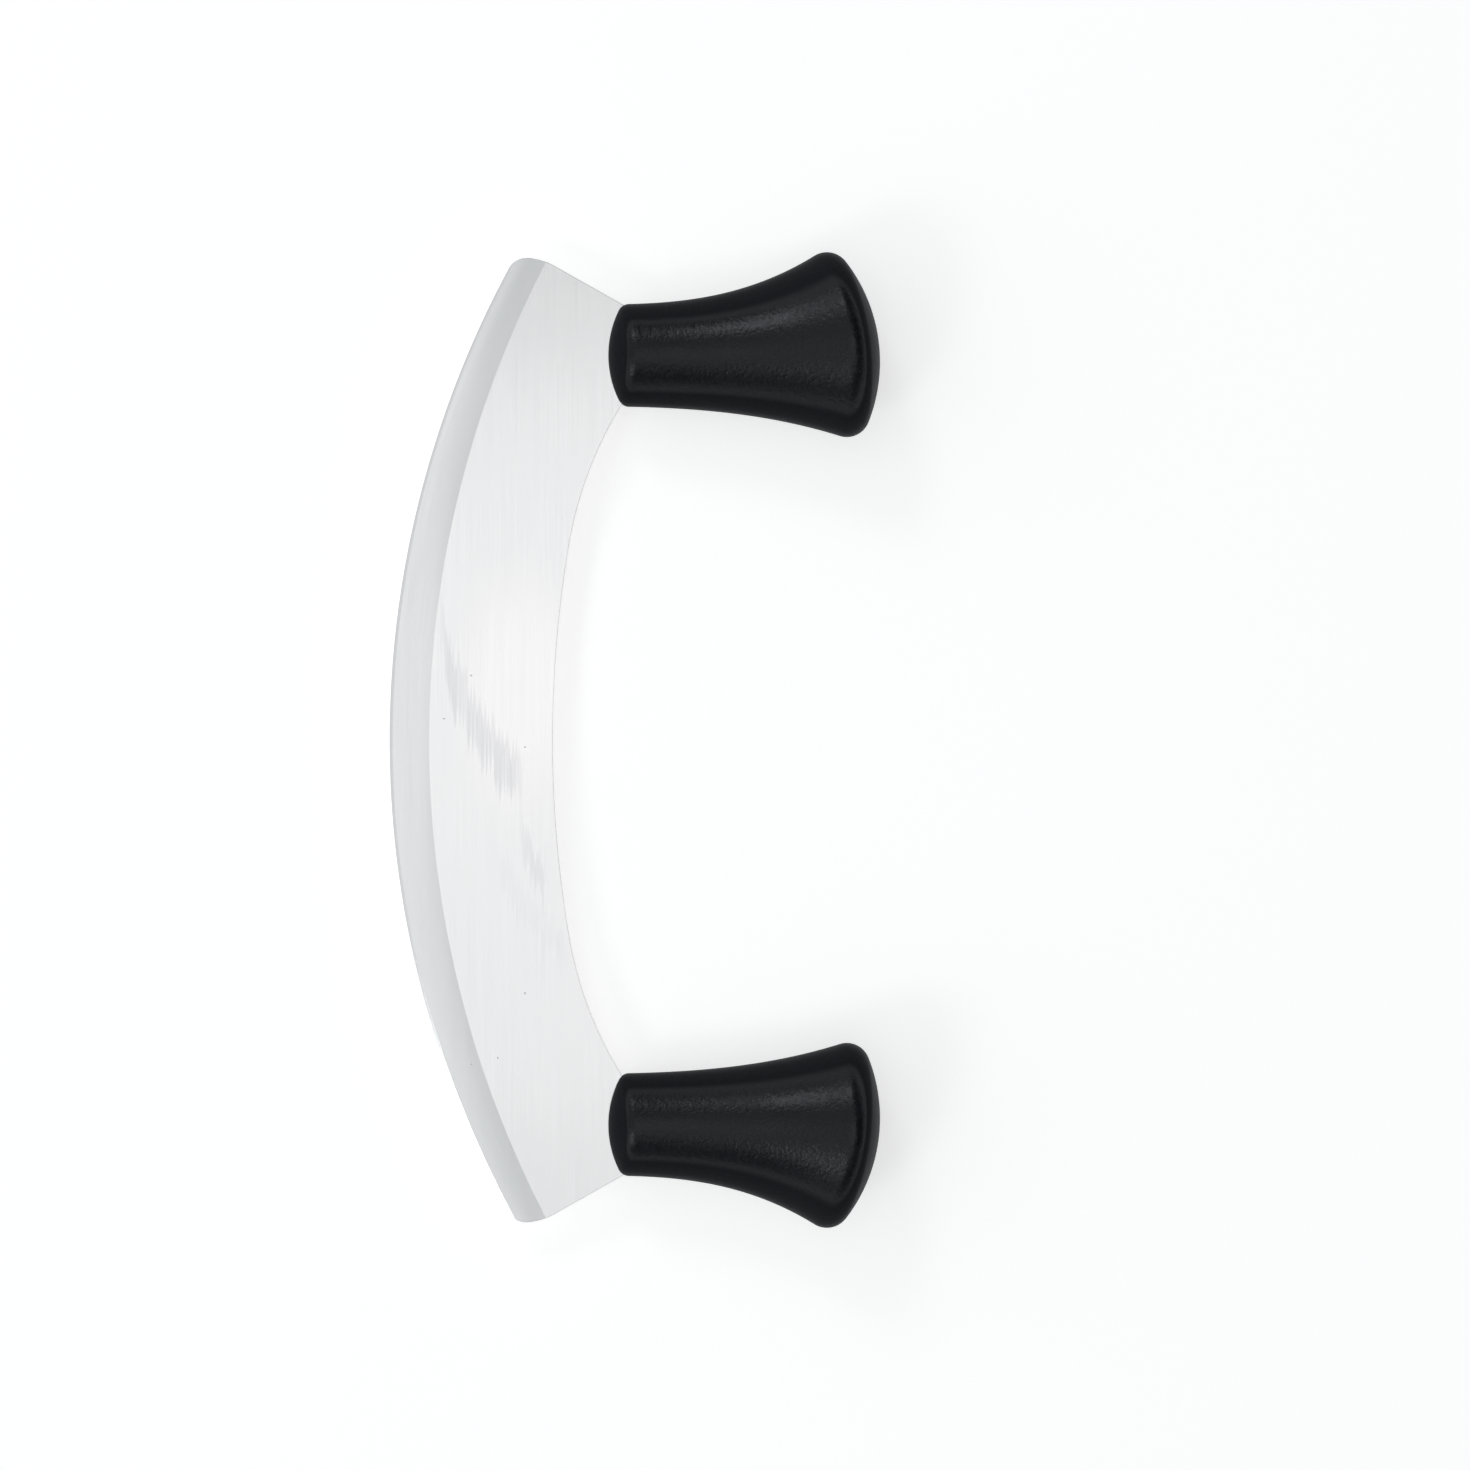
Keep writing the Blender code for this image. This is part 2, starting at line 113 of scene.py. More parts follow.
# Smoothness
EDGE_STEPS = 256
SPINE_STEPS = 48
CORNER_STEPS = 24
HOLE_STEPS = 60
GRIND_STEPS = 12
RIM_STEPS = 4
DIVISIONS = 12
GRIP_SIDES = 160
HOLLOW_SIDES = 96
SHARP_ANGLE = math.radians(35.0)

# Steps along a handle's silhouette: the nose's dome, its rounding, the flare, the rim and the butt
GRIP_STEPS = (20, 12, 72, 24, 24)
HOLLOW_STEPS = (6, 6, 32, 6, 12)

# Search by halving, from one position on a flare to another
HALVINGS = 40
NOSE_SEARCH = (0.5, -1.0)
BUTT_SEARCH = (0.0, 2.0)

# Polish of the steel: lines and bands have a width, a length and a detail, clouds a scale and a detail
FLAT_LINES = (0.00022, 0.035, 5.0)
GRIND_LINES = (0.00025, 0.025, 5.0)
KEEN_LINES = (0.00012, 0.002, 3.0)
POLISH_BANDS = (0.0022, 0.070, 2.0)
LINE_NOISE_ROUGHNESS = 0.6
STEEL_CLOUDS = (28.0, 3.0)
ROUGH_LINE_RANGE = (0.25, 0.75)
STEEL_ROUGHNESS_RANGE = (0.19, 0.28)
STEEL_ANISOTROPY = 0.6
STEEL_BUMP_STRENGTH = 0.15
STEEL_BUMP_DISTANCE = 0.00002

# Tones of the steel: a pair is mixed in clouds
FLAT_TONES = ((0.765, 0.765, 0.768), (0.795, 0.790, 0.790))
GROUND_TONES = ((0.675, 0.685, 0.690), (0.700, 0.707, 0.710))
# Painted light: the grind is paler towards its shoulder
SHOULDER_PAINTED_LIGHT_TONE = (0.765, 0.770, 0.772)
SHOULDER_PAINTED_LIGHT_RANGE = (0.003, GRIND_WIDTH)
# Painted highlight: the sharpening bevel is much paler, a bright line along the edge
KEEN_PAINTED_HIGHLIGHT_TONE = (0.95, 0.95, 0.95)
# Painted light: the grind is paler towards its upper end
UPPER_GRIND_PAINTED_LIGHT_RANGE = (0.045, 0.115)
UPPER_GRIND_PAINTED_LIGHT_GAIN = 1.09
# Painted shade: the steel is darker towards both ends
END_PAINTED_SHADE_RANGE = (0.080, 0.112)
END_PAINTED_SHADE = 0.955
BAND_WEIGHT = 0.5
SHADE_LINE_RANGE = (0.45, 1.05)
LINE_SHADES = (0.976, 1.020)
# Painted highlight: a paler, warmer oval on the flat
PAINTED_HIGHLIGHT_TONE = (0.835, 0.820, 0.820)
PAINTED_HIGHLIGHT_CENTRE = (0.033, 0.012)
PAINTED_HIGHLIGHT_REACH = (0.020, 0.040)
PAINTED_HIGHLIGHT_CORE_SHARE = 0.3

# Painted reflections on the steel, darker bands painted into its colour: where each starts and ends, its
# half width and its strength
PAINTED_REFLECTIONS = (
    ((0.0137, 0.0300), (0.0337, -0.0110), 0.0088, 1.0),
    ((0.0340, -0.0225), (0.0400, -0.0350), 0.0062, 0.75),
    ((0.0280, -0.0270), (0.0455, -0.0530), 0.0060, 0.28),
)
PAINTED_REFLECTION_TONE = (0.722, 0.720, 0.728)
PAINTED_REFLECTION_ROUGHNESS = 0.27
PAINTED_REFLECTION_BEND = 0.52
PAINTED_REFLECTION_SOLID_SHARE = 0.4
PAINTED_REFLECTION_LINES = (0.0009, 0.040, 4.0)
PAINTED_REFLECTION_LINE_RANGE = (0.35, 0.6)
PAINTED_REFLECTION_LINE_SHARES = (0.5, 1.0)
PAINTED_REFLECTION_TEAR = 0.032
PAINTED_REFLECTION_FADE = 0.0016

# Pits in the steel
PIT_SPACING = 0.007
PIT_LIMIT = 0.95
PIT_RADIUS = 0.0003
PIT_TONE = (0.45, 0.46, 0.48)
PIT_ROUGHNESS = 0.6
PIT_DEPTH = 4.0

# Plastic of the grips: clouds have a scale and a detail
GRIP_TONES = ((0.0030, 0.0038, 0.0060), (0.0050, 0.0060, 0.0085))
GRIP_CLOUDS = (90.0, 3.0)
WORN_CLOUDS = (45.0, 2.0)
WORN_CLOUD_RANGE = (0.42, 0.62)
WORN_GRAIN_SHARE = 0.75
GRIP_GRAIN_SIZE = 0.0010
GRIP_GRAIN_DETAIL = 3.0
GRIP_GRAIN_ROUGHNESS = 0.6
GRAIN_RANGE = (0.35, 0.65)
FLECK_SHADES = (0.8, 1.2)
GRIP_ROUGHNESS = 0.30
WORN_ROUGHNESS = 0.25
GRAIN_ROUGHNESS_SHARES = (0.90, 1.10)
LOW_ANGLE_RANGE = (0.16, 0.30)
LOW_ANGLE_ROUGHNESS = 0.95
OUTLINE_RANGE = (0.50, 0.90)
OUTLINE_ROUGHNESS = 0.70
GRIP_GLOSS = 0.28
GRIP_GLOSS_TINT = (0.93, 0.97, 1.0)
GRIP_BUMP_STRENGTH = 0.7
GRIP_BUMP_DISTANCE = 0.00018

# Plastic of the cores: the flow has a scale and a detail
CORE_TONES = ((0.105, 0.105, 0.115), (0.135, 0.135, 0.143))
CORE_FLOW = (120.0, 3.0)
CORE_FLOW_DISTORTION = 1.5
CORE_GRAIN_SIZE = 0.0004
CORE_GRAIN_DETAIL = 2.0
CORE_ROUGHNESS_RANGE = (0.5, 0.62)
CORE_BUMP_STRENGTH = 0.4
CORE_BUMP_DISTANCE = 0.0001

# Surroundings: ranges are of the direction that is looked in
WHITE = (1.0, 1.0, 1.0)
WORLD_TONE = (0.965, 0.985, 1.0)
WORLD_SIDE_RANGE = (-0.55, 0.45)
WORLD_LEFT = 0.66
WORLD_RIGHT = 0.06
WORLD_FLANK_RANGE = (0.35, 0.75)
WORLD_FLANK = 0.35
BACKDROP_STRENGTH = 1.0
BACKDROP_RANGE = (0.12, 0.57)
BACKDROP_RISE_RANGE = (0.0, 0.5)
BACKDROP_RISE = 0.28

# Lamps: angle off the vertical and angle round it in degrees, width, height, radiance and colour
COOL_WHITE = (0.96, 0.985, 1.0)
LAMP_DISTANCE = 2.0
LAMPS = {
    "overhead": (7.2, 210.0, 1.15, 1.0, 0.75, WHITE),
    "upper_left": (50.0, 118.0, 0.45, 0.45, 5.6, COOL_WHITE),
    "lower_left": (46.0, 217.0, 0.45, 0.45, 5.5, COOL_WHITE),
    "upper_fill": (23.5, 140.0, 0.4, 0.4, 0.24, WHITE),
    "spot": (3.2, 125.0, 0.4, 0.4, 0.25, WHITE),
}

# Floor
FLOOR_HALF_SIZE = 12.0
FLOOR_DIVISIONS = 8
FLOOR_TONE = (0.78, 0.78, 0.78)
FLOOR_ROUGHNESS = 0.9
FLOOR_GLOW = 0.645
FAR_FLOOR_RANGE = (0.8, 4.0)
FAR_FLOOR_GLOW = 0.85

# Photograph and camera
PHOTO_PIXELS = 1470.0
METRES_PER_PIXEL = 0.0002559
PHOTO_EDGE_X = 389.5
PHOTO_MIDDLE_Y = 740.0
CAMERA_DISTANCE = 1.0
SENSOR_WIDTH = 0.036
MILLIMETRES_PER_METRE = 1000.0

# Shader nodes: where a Mix node has its colours, and the results of a remap that falls from all to nothing
MIX_COLOUR_INPUTS = (6, 7)
MIX_COLOUR_OUTPUT = 2
FALLING = (1.0, 0.0)


def arc(centre, radius, start, end, steps):
    """Points on a circle from one angle to another, both ends included."""
    angles = [start + (end - start) * step / steps for step in range(steps + 1)]
    return [centre + radius * Vector((math.cos(angle), math.sin(angle))) for angle in angles]


def angle_of(point, centre):
    return math.atan2(point.y - centre.y, point.x - centre.x)


def upper_crossing(centre_a, radius_a, centre_b, radius_b):
    """The crossing of two circles that lies further along Y."""
    gap = centre_b - centre_a
    along = (radius_a ** 2 - radius_b ** 2 + gap.length_squared) / (2.0 * gap.length)
    across = math.sqrt(radius_a ** 2 - along ** 2)
    foot = centre_a + gap.normalized() * along
    offset = Vector((-gap.y, gap.x)).normalized() * across
    return max(foot + offset, foot - offset, key=lambda point: point.y)


def mirrored(points):
    """The same points on the other side of the X axis, in the opposite order."""
    return [Vector((point.x, -point.y)) for point in reversed(points)]


def nose_point():
    """The left handle's nose on the blade's middle plane, the end's width in from the cutting edge."""
    reach = BLADE_SPAN / 2.0 - HANDLE_INSET
    rise = EDGE_RADIUS - math.sqrt(EDGE_RADIUS ** 2 - reach ** 2)
    return Vector((rise + END_WIDTH, reach))


def resting_matrix(record):
    """The tool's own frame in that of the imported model, from the blade's two flats and its box."""
    flats = [mount for mount in record["mounts"] if mount["name"] in ("front_flat", "back_flat")]
    normal = Vector(flats[0]["axis"])
    middle = (Vector(flats[0]["pos_m"]) + Vector(flats[1]["pos_m"])) / 2.0
    tilt = math.atan2(-normal.x, normal.z)
    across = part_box("blade")[0].x + math.sin(tilt) * EDGE_LAND / 2.0
    height = (normal.dot(middle) - normal.x * across) / normal.z
    return Matrix.Translation((across, 0.0, height)) @ Matrix.Rotation(-tilt, 4, "Y")


def tang_outline(gap):
    """One side of a tang, from its shoulder to its end, in the handle's own frame, widened by a gap."""
    half = NECK_WIDTH / 2.0 - TANG_COVER
    root = Vector((SHOULDER_DEPTH + TANG_ROOT_RADIUS, half + TANG_ROOT_RADIUS))
    end = Vector((SHOULDER_DEPTH + TANG_LENGTH - TANG_END_RADIUS, half - TANG_END_RADIUS))
    points = arc(root, TANG_ROOT_RADIUS - gap, -math.pi, -math.pi / 2.0, CORNER_STEPS)
    points += arc(end, TANG_END_RADIUS + gap, math.pi / 2.0, 0.0, CORNER_STEPS)
    return points


def hole_outlines(nose, diameter):
    """Circles for the holes of the tang behind a handle's nose."""
    centres = [nose + Vector((SHOULDER_DEPTH + share * TANG_LENGTH, 0.0)) for share in TANG_HOLE_SHARES]
    return [arc(centre, diameter / 2.0, 0.0, math.tau, HOLE_STEPS)[:-1] for centre in centres]


def tip_circles():
    """Centres of a tip's rounding and of the longer curve that leads from it to the straight end edge."""
    height = BLADE_SPAN / 2.0 - END_CURVE_RADIUS
    depth_line = EDGE_RADIUS - END_CURVE_DEPTH
    end_centre = Vector((EDGE_RADIUS - math.sqrt(depth_line ** 2 - height ** 2), height))
    edge_centre = Vector((EDGE_RADIUS, 0.0))
    tip_centre = upper_crossing(
        edge_centre, EDGE_RADIUS - TIP_ROUNDING, end_centre, END_CURVE_RADIUS - TIP_ROUNDING)
    return tip_centre, end_centre


def edge_end_angle():
    """Half of the cutting edge's arc, from its middle to where a tip's rounding starts."""
    centre, _ = tip_circles()
    return math.atan2(centre.y, EDGE_RADIUS - centre.x)


def half_blade_outline():
    """The blade's outline with Y above zero, from the middle of its edge to the middle of its spine."""
    edge_centre = Vector((EDGE_RADIUS, 0.0))
    tip_centre, end_centre = tip_circles()
    tip_start = math.pi - edge_end_angle()
    tip_end = angle_of(tip_centre, end_centre)
    nose = nose_point()
    shoulder = nose + Vector((SHOULDER_DEPTH, NECK_WIDTH / 2.0 - SHOULDER_INSET))
    run = (shoulder - end_centre).length
    touch = angle_of(shoulder, end_centre) + math.acos(END_CURVE_RADIUS / run)
    straight = end_centre + END_CURVE_RADIUS * Vector((math.cos(touch), math.sin(touch)))
    points = arc(edge_centre, EDGE_RADIUS, math.pi, tip_start, EDGE_STEPS // 2)
    points += arc(tip_centre, TIP_ROUNDING, tip_start, tip_end, CORNER_STEPS)[1:]
    points += arc(end_centre, END_CURVE_RADIUS, tip_end, touch, CORNER_STEPS)[1:]
    points += [straight.lerp(shoulder, step / DIVISIONS) for step in range(1, DIVISIONS + 1)]
    side = tang_outline(0.0)
    points += [nose + point for point in side + mirrored(side)]
    return points + spine_points()


def spine_end_centre(turn):
    """The centre of the spine's tight arc, if the wide arc turns by an angle up to their joint."""
    half = SPINE_ARC_SPAN / 2.0
    joint = Vector((BLADE_WIDTH + half * math.tan(turn / 2.0), half))
    return joint + SPINE_END_RADIUS * Vector((math.cos(turn), -math.sin(turn)))


def spine_points():
    """The blade's concave back, from a handle's shoulder to the middle: a tight arc, then a wide one.

    The more the wide arc turns, the further the tight one passes above the shoulder: halving finds it.
    """
    shoulder = nose_point() + Vector((SHOULDER_DEPTH, SPINE_INSET - NECK_WIDTH / 2.0))
    low, high = 0.0, math.pi / 2.0
    for _ in range(HALVINGS):
        turn = (low + high) / 2.0
        tight_centre = spine_end_centre(turn)
        if (shoulder - tight_centre).length < SPINE_END_RADIUS:
            low = turn
        else:
            high = turn
    start = angle_of(shoulder, tight_centre)
    tight = arc(tight_centre, SPINE_END_RADIUS, start, math.pi - turn, SPINE_STEPS)
    wide_radius = SPINE_ARC_SPAN / 2.0 / math.sin(turn)
    wide_centre = Vector((BLADE_WIDTH + wide_radius, 0.0))
    wide = arc(wide_centre, wide_radius, math.pi - turn, math.pi, SPINE_STEPS)
    return tight + wide[1:]


def grind_section():
    """The ground face in section: distance in from the cutting edge, height above the middle plane."""
    half = BLADE_THICKNESS / 2.0
    start = EDGE_LAND / 2.0 + SHARPENING_WIDTH * math.tan(SHARPENING_ANGLE)
    section = [(0.0, KEEN_LAND / 2.0)]
    for step in range(GRIND_STEPS + 1):
        share = step / GRIND_STEPS
        distance = SHARPENING_WIDTH + (GRIND_WIDTH - SHARPENING_WIDTH) * share
        height = start + (half - start) * share - 4.0 * GRIND_HOLLOW * share * (1.0 - share)
        section.append((distance, height))
    return section


def grind_stretch(angle):
    """The grind's width at an angle along the cutting edge, as a share of its width in the middle."""
    narrowing = 1.0 - GRIND_TIP_WIDTH / GRIND_WIDTH
    return 1.0 - narrowing * (1.0 - math.cos(angle)) / (1.0 - math.cos(edge_end_angle()))


def grind_line(distance):
    """A line along the ground face at one distance in from the cutting edge, running past both tips."""
    turn = edge_end_angle()
    last = math.asin((BLADE_SPAN / 2.0 + OVERRUN) / (EDGE_RADIUS - GRIND_WIDTH))
    angles = [turn * (2.0 * step / EDGE_STEPS - 1.0) for step in range(EDGE_STEPS + 1)]
    beyond = [turn + (last - turn) * step / DIVISIONS for step in range(1, DIVISIONS + 1)]
    points = []
    for angle in [-angle for angle in reversed(beyond)] + angles + beyond:
        radius = EDGE_RADIUS - distance * grind_stretch(angle)
        points.append(Vector((EDGE_RADIUS - radius * math.cos(angle), radius * math.sin(angle))))
    return points


def grind_depth(point):
    """How far in from the cutting edge a point lies, in terms of the grind's section in the middle."""
    offset = point - Vector((EDGE_RADIUS, 0.0))
    return (EDGE_RADIUS - offset.length) / grind_stretch(math.atan2(offset.y, -offset.x))


def section_height(section, depth):
    """The height of the blade's face above its middle plane, before the rim is rounded."""
    for (near, low), (far, high) in zip(section, section[1:]):
        if depth < far:
            return low + (high - low) * (depth - near) / (far - near)
    return BLADE_THICKNESS / 2.0


def rounded_height(height, rim_distance):
    """A height of the blade's face, lowered where the rim's rounding passes through it."""
    rounding = min(RIM_ROUNDING, RIM_ROUNDING_SHARE * height)
    if rim_distance >= rounding:
        return height
    return height - rounding + math.sqrt(rounding ** 2 - (rounding - rim_distance) ** 2)


def offset_loop(loop, distance):
    """An anticlockwise outline moved inwards by a distance."""
    points = []
    for before, point, after in zip(loop[-1:] + loop[:-1], loop, loop[1:] + loop[:1]):
        first = (point - before).normalized()
        second = (after - point).normalized()
        inward = Vector((-first.y - second.y, first.x + second.x)).normalized()
        points.append(point + inward * distance / inward.dot(Vector((-first.y, first.x))))
    return points


def rim_distances(points, loop):
    """The distance of each point from a closed outline."""
    places = np.array([tuple(point) for point in points])
    starts = np.array([tuple(point) for point in loop])
    runs = np.roll(starts, -1, axis=0) - starts
    lengths = (runs ** 2).sum(axis=1)
    nearest = np.full(len(places), np.inf)
    for start, run, length in zip(starts, runs, lengths):
        offsets = places - start
        share = np.clip(offsets @ run / length, 0.0, 1.0)
        gaps = np.hypot(*(offsets - share[:, None] * run).T)
        nearest = np.minimum(nearest, gaps)
    return nearest


def blade_sheet():
    """The blade's outline filled with triangles that keep to the grind's lines and the rim's rounding."""
    half = half_blade_outline()
    nose = nose_point()
    outline = (half + mirrored(half)[1:-1])[::-1]
    loops = [outline]
    loops += hole_outlines(nose, TANG_HOLE_DIAMETER)
    loops += hole_outlines(Vector((nose.x, -nose.y)), TANG_HOLE_DIAMETER)
    points, edges, faces = [], [], []
    for loop in loops:
        faces.append([len(points) + index for index in range(len(loop))])
        points += loop
    turns = [math.pi / 2.0 * step / RIM_STEPS for step in range(1, RIM_STEPS + 1)]
    insets = [RIM_ROUNDING * (1.0 - math.cos(turn)) for turn in turns] + [RIM_ROUNDING + RIM_GUARD]
    for inset in insets:
        ring = offset_loop(outline, inset)
        first = len(points)
        edges += [(first + index, first + (index + 1) % len(ring)) for index in range(len(ring))]
        points += ring
    for distance, _ in grind_section()[1:]:
        line = grind_line(distance)
        first = len(points)
        edges += [(first + index, first + index + 1) for index in range(len(line) - 1)]
        points += line
    corners, _, triangles, _, _, sources = delaunay_2d_cdt(points, edges, faces, 0, CORNER_GAP)
    sheet = [triangle for triangle, source in zip(triangles, sources) if source == [0]]
    return corners, sheet, rim_distances(corners, outline)


def blade_mesh():
    """The blade's sheet on both faces, at its height off the middle plane, and a wall round each rim."""
    corners, sheet, gaps = blade_sheet()
    section = grind_section()
    mesh_data = bmesh.new()
    top, bottom, depths = {}, {}, {}
    for index in sorted({index for triangle in sheet for index in triangle}):
        corner = corners[index]
        depth = grind_depth(corner)
        height = rounded_height(section_height(section, depth), gaps[index])
        top[index] = mesh_data.verts.new((*corner, height))
        bottom[index] = mesh_data.verts.new((*corner, -height))
        depths[top[index]] = depths[bottom[index]] = depth
    rims = set()
    for triangle in sheet:
        mesh_data.faces.new([top[index] for index in triangle])
        mesh_data.faces.new([bottom[index] for index in reversed(triangle)])
        for pair in zip(triangle, triangle[1:] + triangle[:1]):
            rims ^= {tuple(sorted(pair))}
    for first, second in sorted(rims):
        mesh_data.faces.new((top[first], top[second], bottom[second], bottom[first]))
    bmesh.ops.recalc_face_normals(mesh_data, faces=mesh_data.faces)
    for face in mesh_data.faces:
        face.smooth = True
    for edge in mesh_data.edges:
        for crease in (SHARPENING_WIDTH, GRIND_WIDTH):
            if all(abs(depths[vertex] - crease) < CREASE_TOLERANCE for vertex in edge.verts):
                edge.smooth = False
    return mesh_data


def flare_point(flare, position):
    """A point on a handle's flare, a cubic from neck to lip, and the direction out of the plastic."""
    start, start_reach, start_slope, end, end_reach, end_slope = flare
    run = end - start
    square = position ** 2
    cube = position ** 3
    start_weight = 2.0 * cube - 3.0 * square + 1.0
    reach = start_weight * start_reach + (1.0 - start_weight) * end_reach
    reach += run * ((cube - 2.0 * square + position) * start_slope + (cube - square) * end_slope)
    slope = (6.0 * square - 6.0 * position) * (start_reach - end_reach) / run
    slope += (3.0 * square - 4.0 * position + 1.0) * start_slope
    slope += (3.0 * square - 2.0 * position) * end_slope
    return Vector((start + run * position, reach)), Vector((-slope, 1.0)).normalized()


def corner_centre(flare, depth, dome_centre, distance, search):
    """The centre of a corner's rounding, a depth below the flare and a distance from the dome's centre.

    Between the two positions of the search that distance is passed once, so halving finds it.
    """
    low, high = search
    for _ in range(HALVINGS):
        middle = (low + high) / 2.0
        point, outward = flare_point(flare, middle)
        if (point - outward * depth - dome_centre).length < distance:
            low = middle
        else:
            high = middle
    return middle, point - outward * depth, outward


def smooth_nose(flare, hollow, steps):
    """Where the flare takes over from a nose, and the nose: a dome and a rounding, without an edge."""
    radius = NECK_DOME_RADIUS
    centre = Vector((NECK_DOME_RADIUS, 0.0))
    depth = NECK_ROUNDING
    if hollow:
        radius -= hollow - GRIP_WALL
        centre.x += GRIP_FRONT_WALL
        depth = GRIP_WALL + CORE_FRONT_ROUNDING
    rounding = depth - hollow
    first, corner, outward = corner_centre(flare, depth, centre, radius - rounding, NOSE_SEARCH)
    turn = angle_of(corner, centre)
    points = arc(centre, radius, math.pi, turn, steps[0])
    points += arc(corner, rounding, turn, math.atan2(outward.y, outward.x), steps[1])[1:]
    return first, points


def creased_nose(flare, steps):
    """The face's nose, given as by smooth_nose: its dome is rounder and meets the rounding in a crease."""
    centre = Vector((FACE_DOME_RADIUS, 0.0))
    low, high = NOSE_SEARCH
    for _ in range(HALVINGS):
        first = (low + high) / 2.0
        point, outward = flare_point(flare, first)
        corner = point - outward * FACE_NOSE_ROUNDING
        end = math.atan2(outward.y, outward.x)
        start = end + NOSE_CREASE_ANGLE
        crease = corner + FACE_NOSE_ROUNDING * Vector((math.cos(start), math.sin(start)))
        if (crease - centre).length < FACE_DOME_RADIUS:
            low = first
        else:
            high = first
    turn = angle_of(crease, centre)
    guard_turn = turn + CREASE_GUARD / FACE_DOME_RADIUS
    guard_start = start - CREASE_GUARD / FACE_NOSE_ROUNDING
    points = arc(centre, FACE_DOME_RADIUS, math.pi, guard_turn, steps[0] - 1) + [crease]
    points += arc(corner, FACE_NOSE_ROUNDING, guard_start, end, steps[1] - 1)
    return first, points


def handle_profile(flare, rim_rounding, dome_offset, hollow, steps, creased=False):
    """One silhouette of the handle from nose to butt, or that of the hollow under the grip's skin.

    hollow is the depth below the grip's surface, or zero for the surface itself.
    """
    first, points = creased_nose(flare, steps) if creased else smooth_nose(flare, hollow, steps)
    flare_steps, rim_steps, butt_steps = steps[2:]
    if hollow:
        rim_rounding = max(rim_rounding, hollow + CORE_RIM_ROUNDING)
    butt_centre = Vector((HANDLE_LENGTH - BUTT_DOME_RADIUS, dome_offset))
    last, centre, outward = corner_centre(
        flare, rim_rounding, butt_centre, BUTT_DOME_RADIUS - rim_rounding, BUTT_SEARCH)
    for step in range(1, flare_steps):
        point, direction = flare_point(flare, first + (last - first) * step / flare_steps)
        points.append(point - direction * hollow)
    turn = angle_of(centre, butt_centre)
    points += arc(centre, rim_rounding - hollow, math.atan2(outward.y, outward.x), turn, rim_steps)
    points += arc(butt_centre, BUTT_DOME_RADIUS - hollow, turn, 0.0, butt_steps)[1:]
    return points


def handle_mesh(side, hollow, steps, sides):
    """A handle's solid: rings along its outer, inner and face silhouettes, closed at nose and butt."""
    taper = math.tan(NECK_TAPER_ANGLE)
    neck = (NECK_START, NECK_WIDTH / 2.0, taper)
    outer_flare = neck + (HANDLE_LENGTH * OUTER_LIP_SHARE, OUTER_LIP_REACH, math.tan(OUTER_LIP_ANGLE))
    inner_flare = neck + (HANDLE_LENGTH * INNER_LIP_SHARE, INNER_LIP_REACH, math.tan(INNER_LIP_ANGLE))
    neck_face = (NECK_START, NECK_THICKNESS / 2.0, taper)
    face_flare = neck_face + (HANDLE_LENGTH * FACE_LIP_SHARE, FACE_LIP_REACH, math.tan(FACE_LIP_ANGLE))
    outer = handle_profile(outer_flare, SIDE_RIM_ROUNDING, -BUTT_DOME_OFFSET, hollow, steps)
    inner = handle_profile(inner_flare, SIDE_RIM_ROUNDING, BUTT_DOME_OFFSET, hollow, steps)
    face = handle_profile(face_flare, FACE_RIM_ROUNDING, 0.0, hollow, steps, creased=not hollow)
    mesh_data = bmesh.new()
    nose = mesh_data.verts.new((outer[0].x, side * outer[0].y, 0.0))
    butt = mesh_data.verts.new((outer[-1].x, side * outer[-1].y, 0.0))
    rings = []
    for out, back, front in zip(outer[1:-1], inner[1:-1], face[1:-1]):
        ring = []
        for index in range(sides):
            turn = math.tau * index / sides
            middle = (out.x + back.x) / 2.0
            along = middle + (out.x - back.x) / 2.0 * math.cos(turn)
            along += (front.x - middle) * math.sin(turn) ** 2
            across = (out.y - back.y) / 2.0 + (out.y + back.y) / 2.0 * math.cos(turn)
            ring.append(mesh_data.verts.new((along, side * across, front.y * math.sin(turn))))
        rings.append(ring)
    for ring, following in zip(rings, rings[1:]):
        for index in range(sides):
            after = (index + 1) % sides
            mesh_data.faces.new((ring[index], ring[after], following[after], following[index]))
    for index in range(sides):
        after = (index + 1) % sides
        mesh_data.faces.new((nose, rings[0][index], rings[0][after]))
        mesh_data.faces.new((butt, rings[-1][after], rings[-1][index]))
    bmesh.ops.recalc_face_normals(mesh_data, faces=mesh_data.faces)
    return mesh_data


def slot_mesh(side):
    """The space of the shoulders and tang in a handle, open to the front and both sides of the neck."""
    reach = NECK_WIDTH / 2.0 + OVERRUN
    tang = tang_outline(SLOT_GAP)
    front = [Vector((-OVERRUN, reach)), Vector((SHOULDER_DEPTH + SLOT_GAP, reach))]
    outline = front + tang + mirrored(tang) + mirrored(front)
    height = BLADE_THICKNESS / 2.0 + SLOT_GAP
    mesh_data = bmesh.new()
    lower = [mesh_data.verts.new((point.x, side * point.y, -height)) for point in outline]
    mesh_data.faces.new(lower)
    raised = bmesh.ops.extrude_face_region(mesh_data, geom=mesh_data.faces[:])
    upper = [part for part in raised["geom"] if isinstance(part, bmesh.types.BMVert)]
    bmesh.ops.translate(mesh_data, verts=upper, vec=(0.0, 0.0, 2.0 * height))
    bmesh.ops.recalc_face_normals(mesh_data, faces=mesh_data.faces)
    return mesh_data


def make_object(name, mesh_data, placement):
    """Turns a bmesh into an object whose place is in its vertices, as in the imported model."""
    mesh_data.transform(placement)
    mesh = bpy.data.meshes.new(name)
    mesh_data.to_mesh(mesh)
    mesh_data.free()
    item = bpy.data.objects.new(name, mesh)
    bpy.context.collection.objects.link(item)
    return item


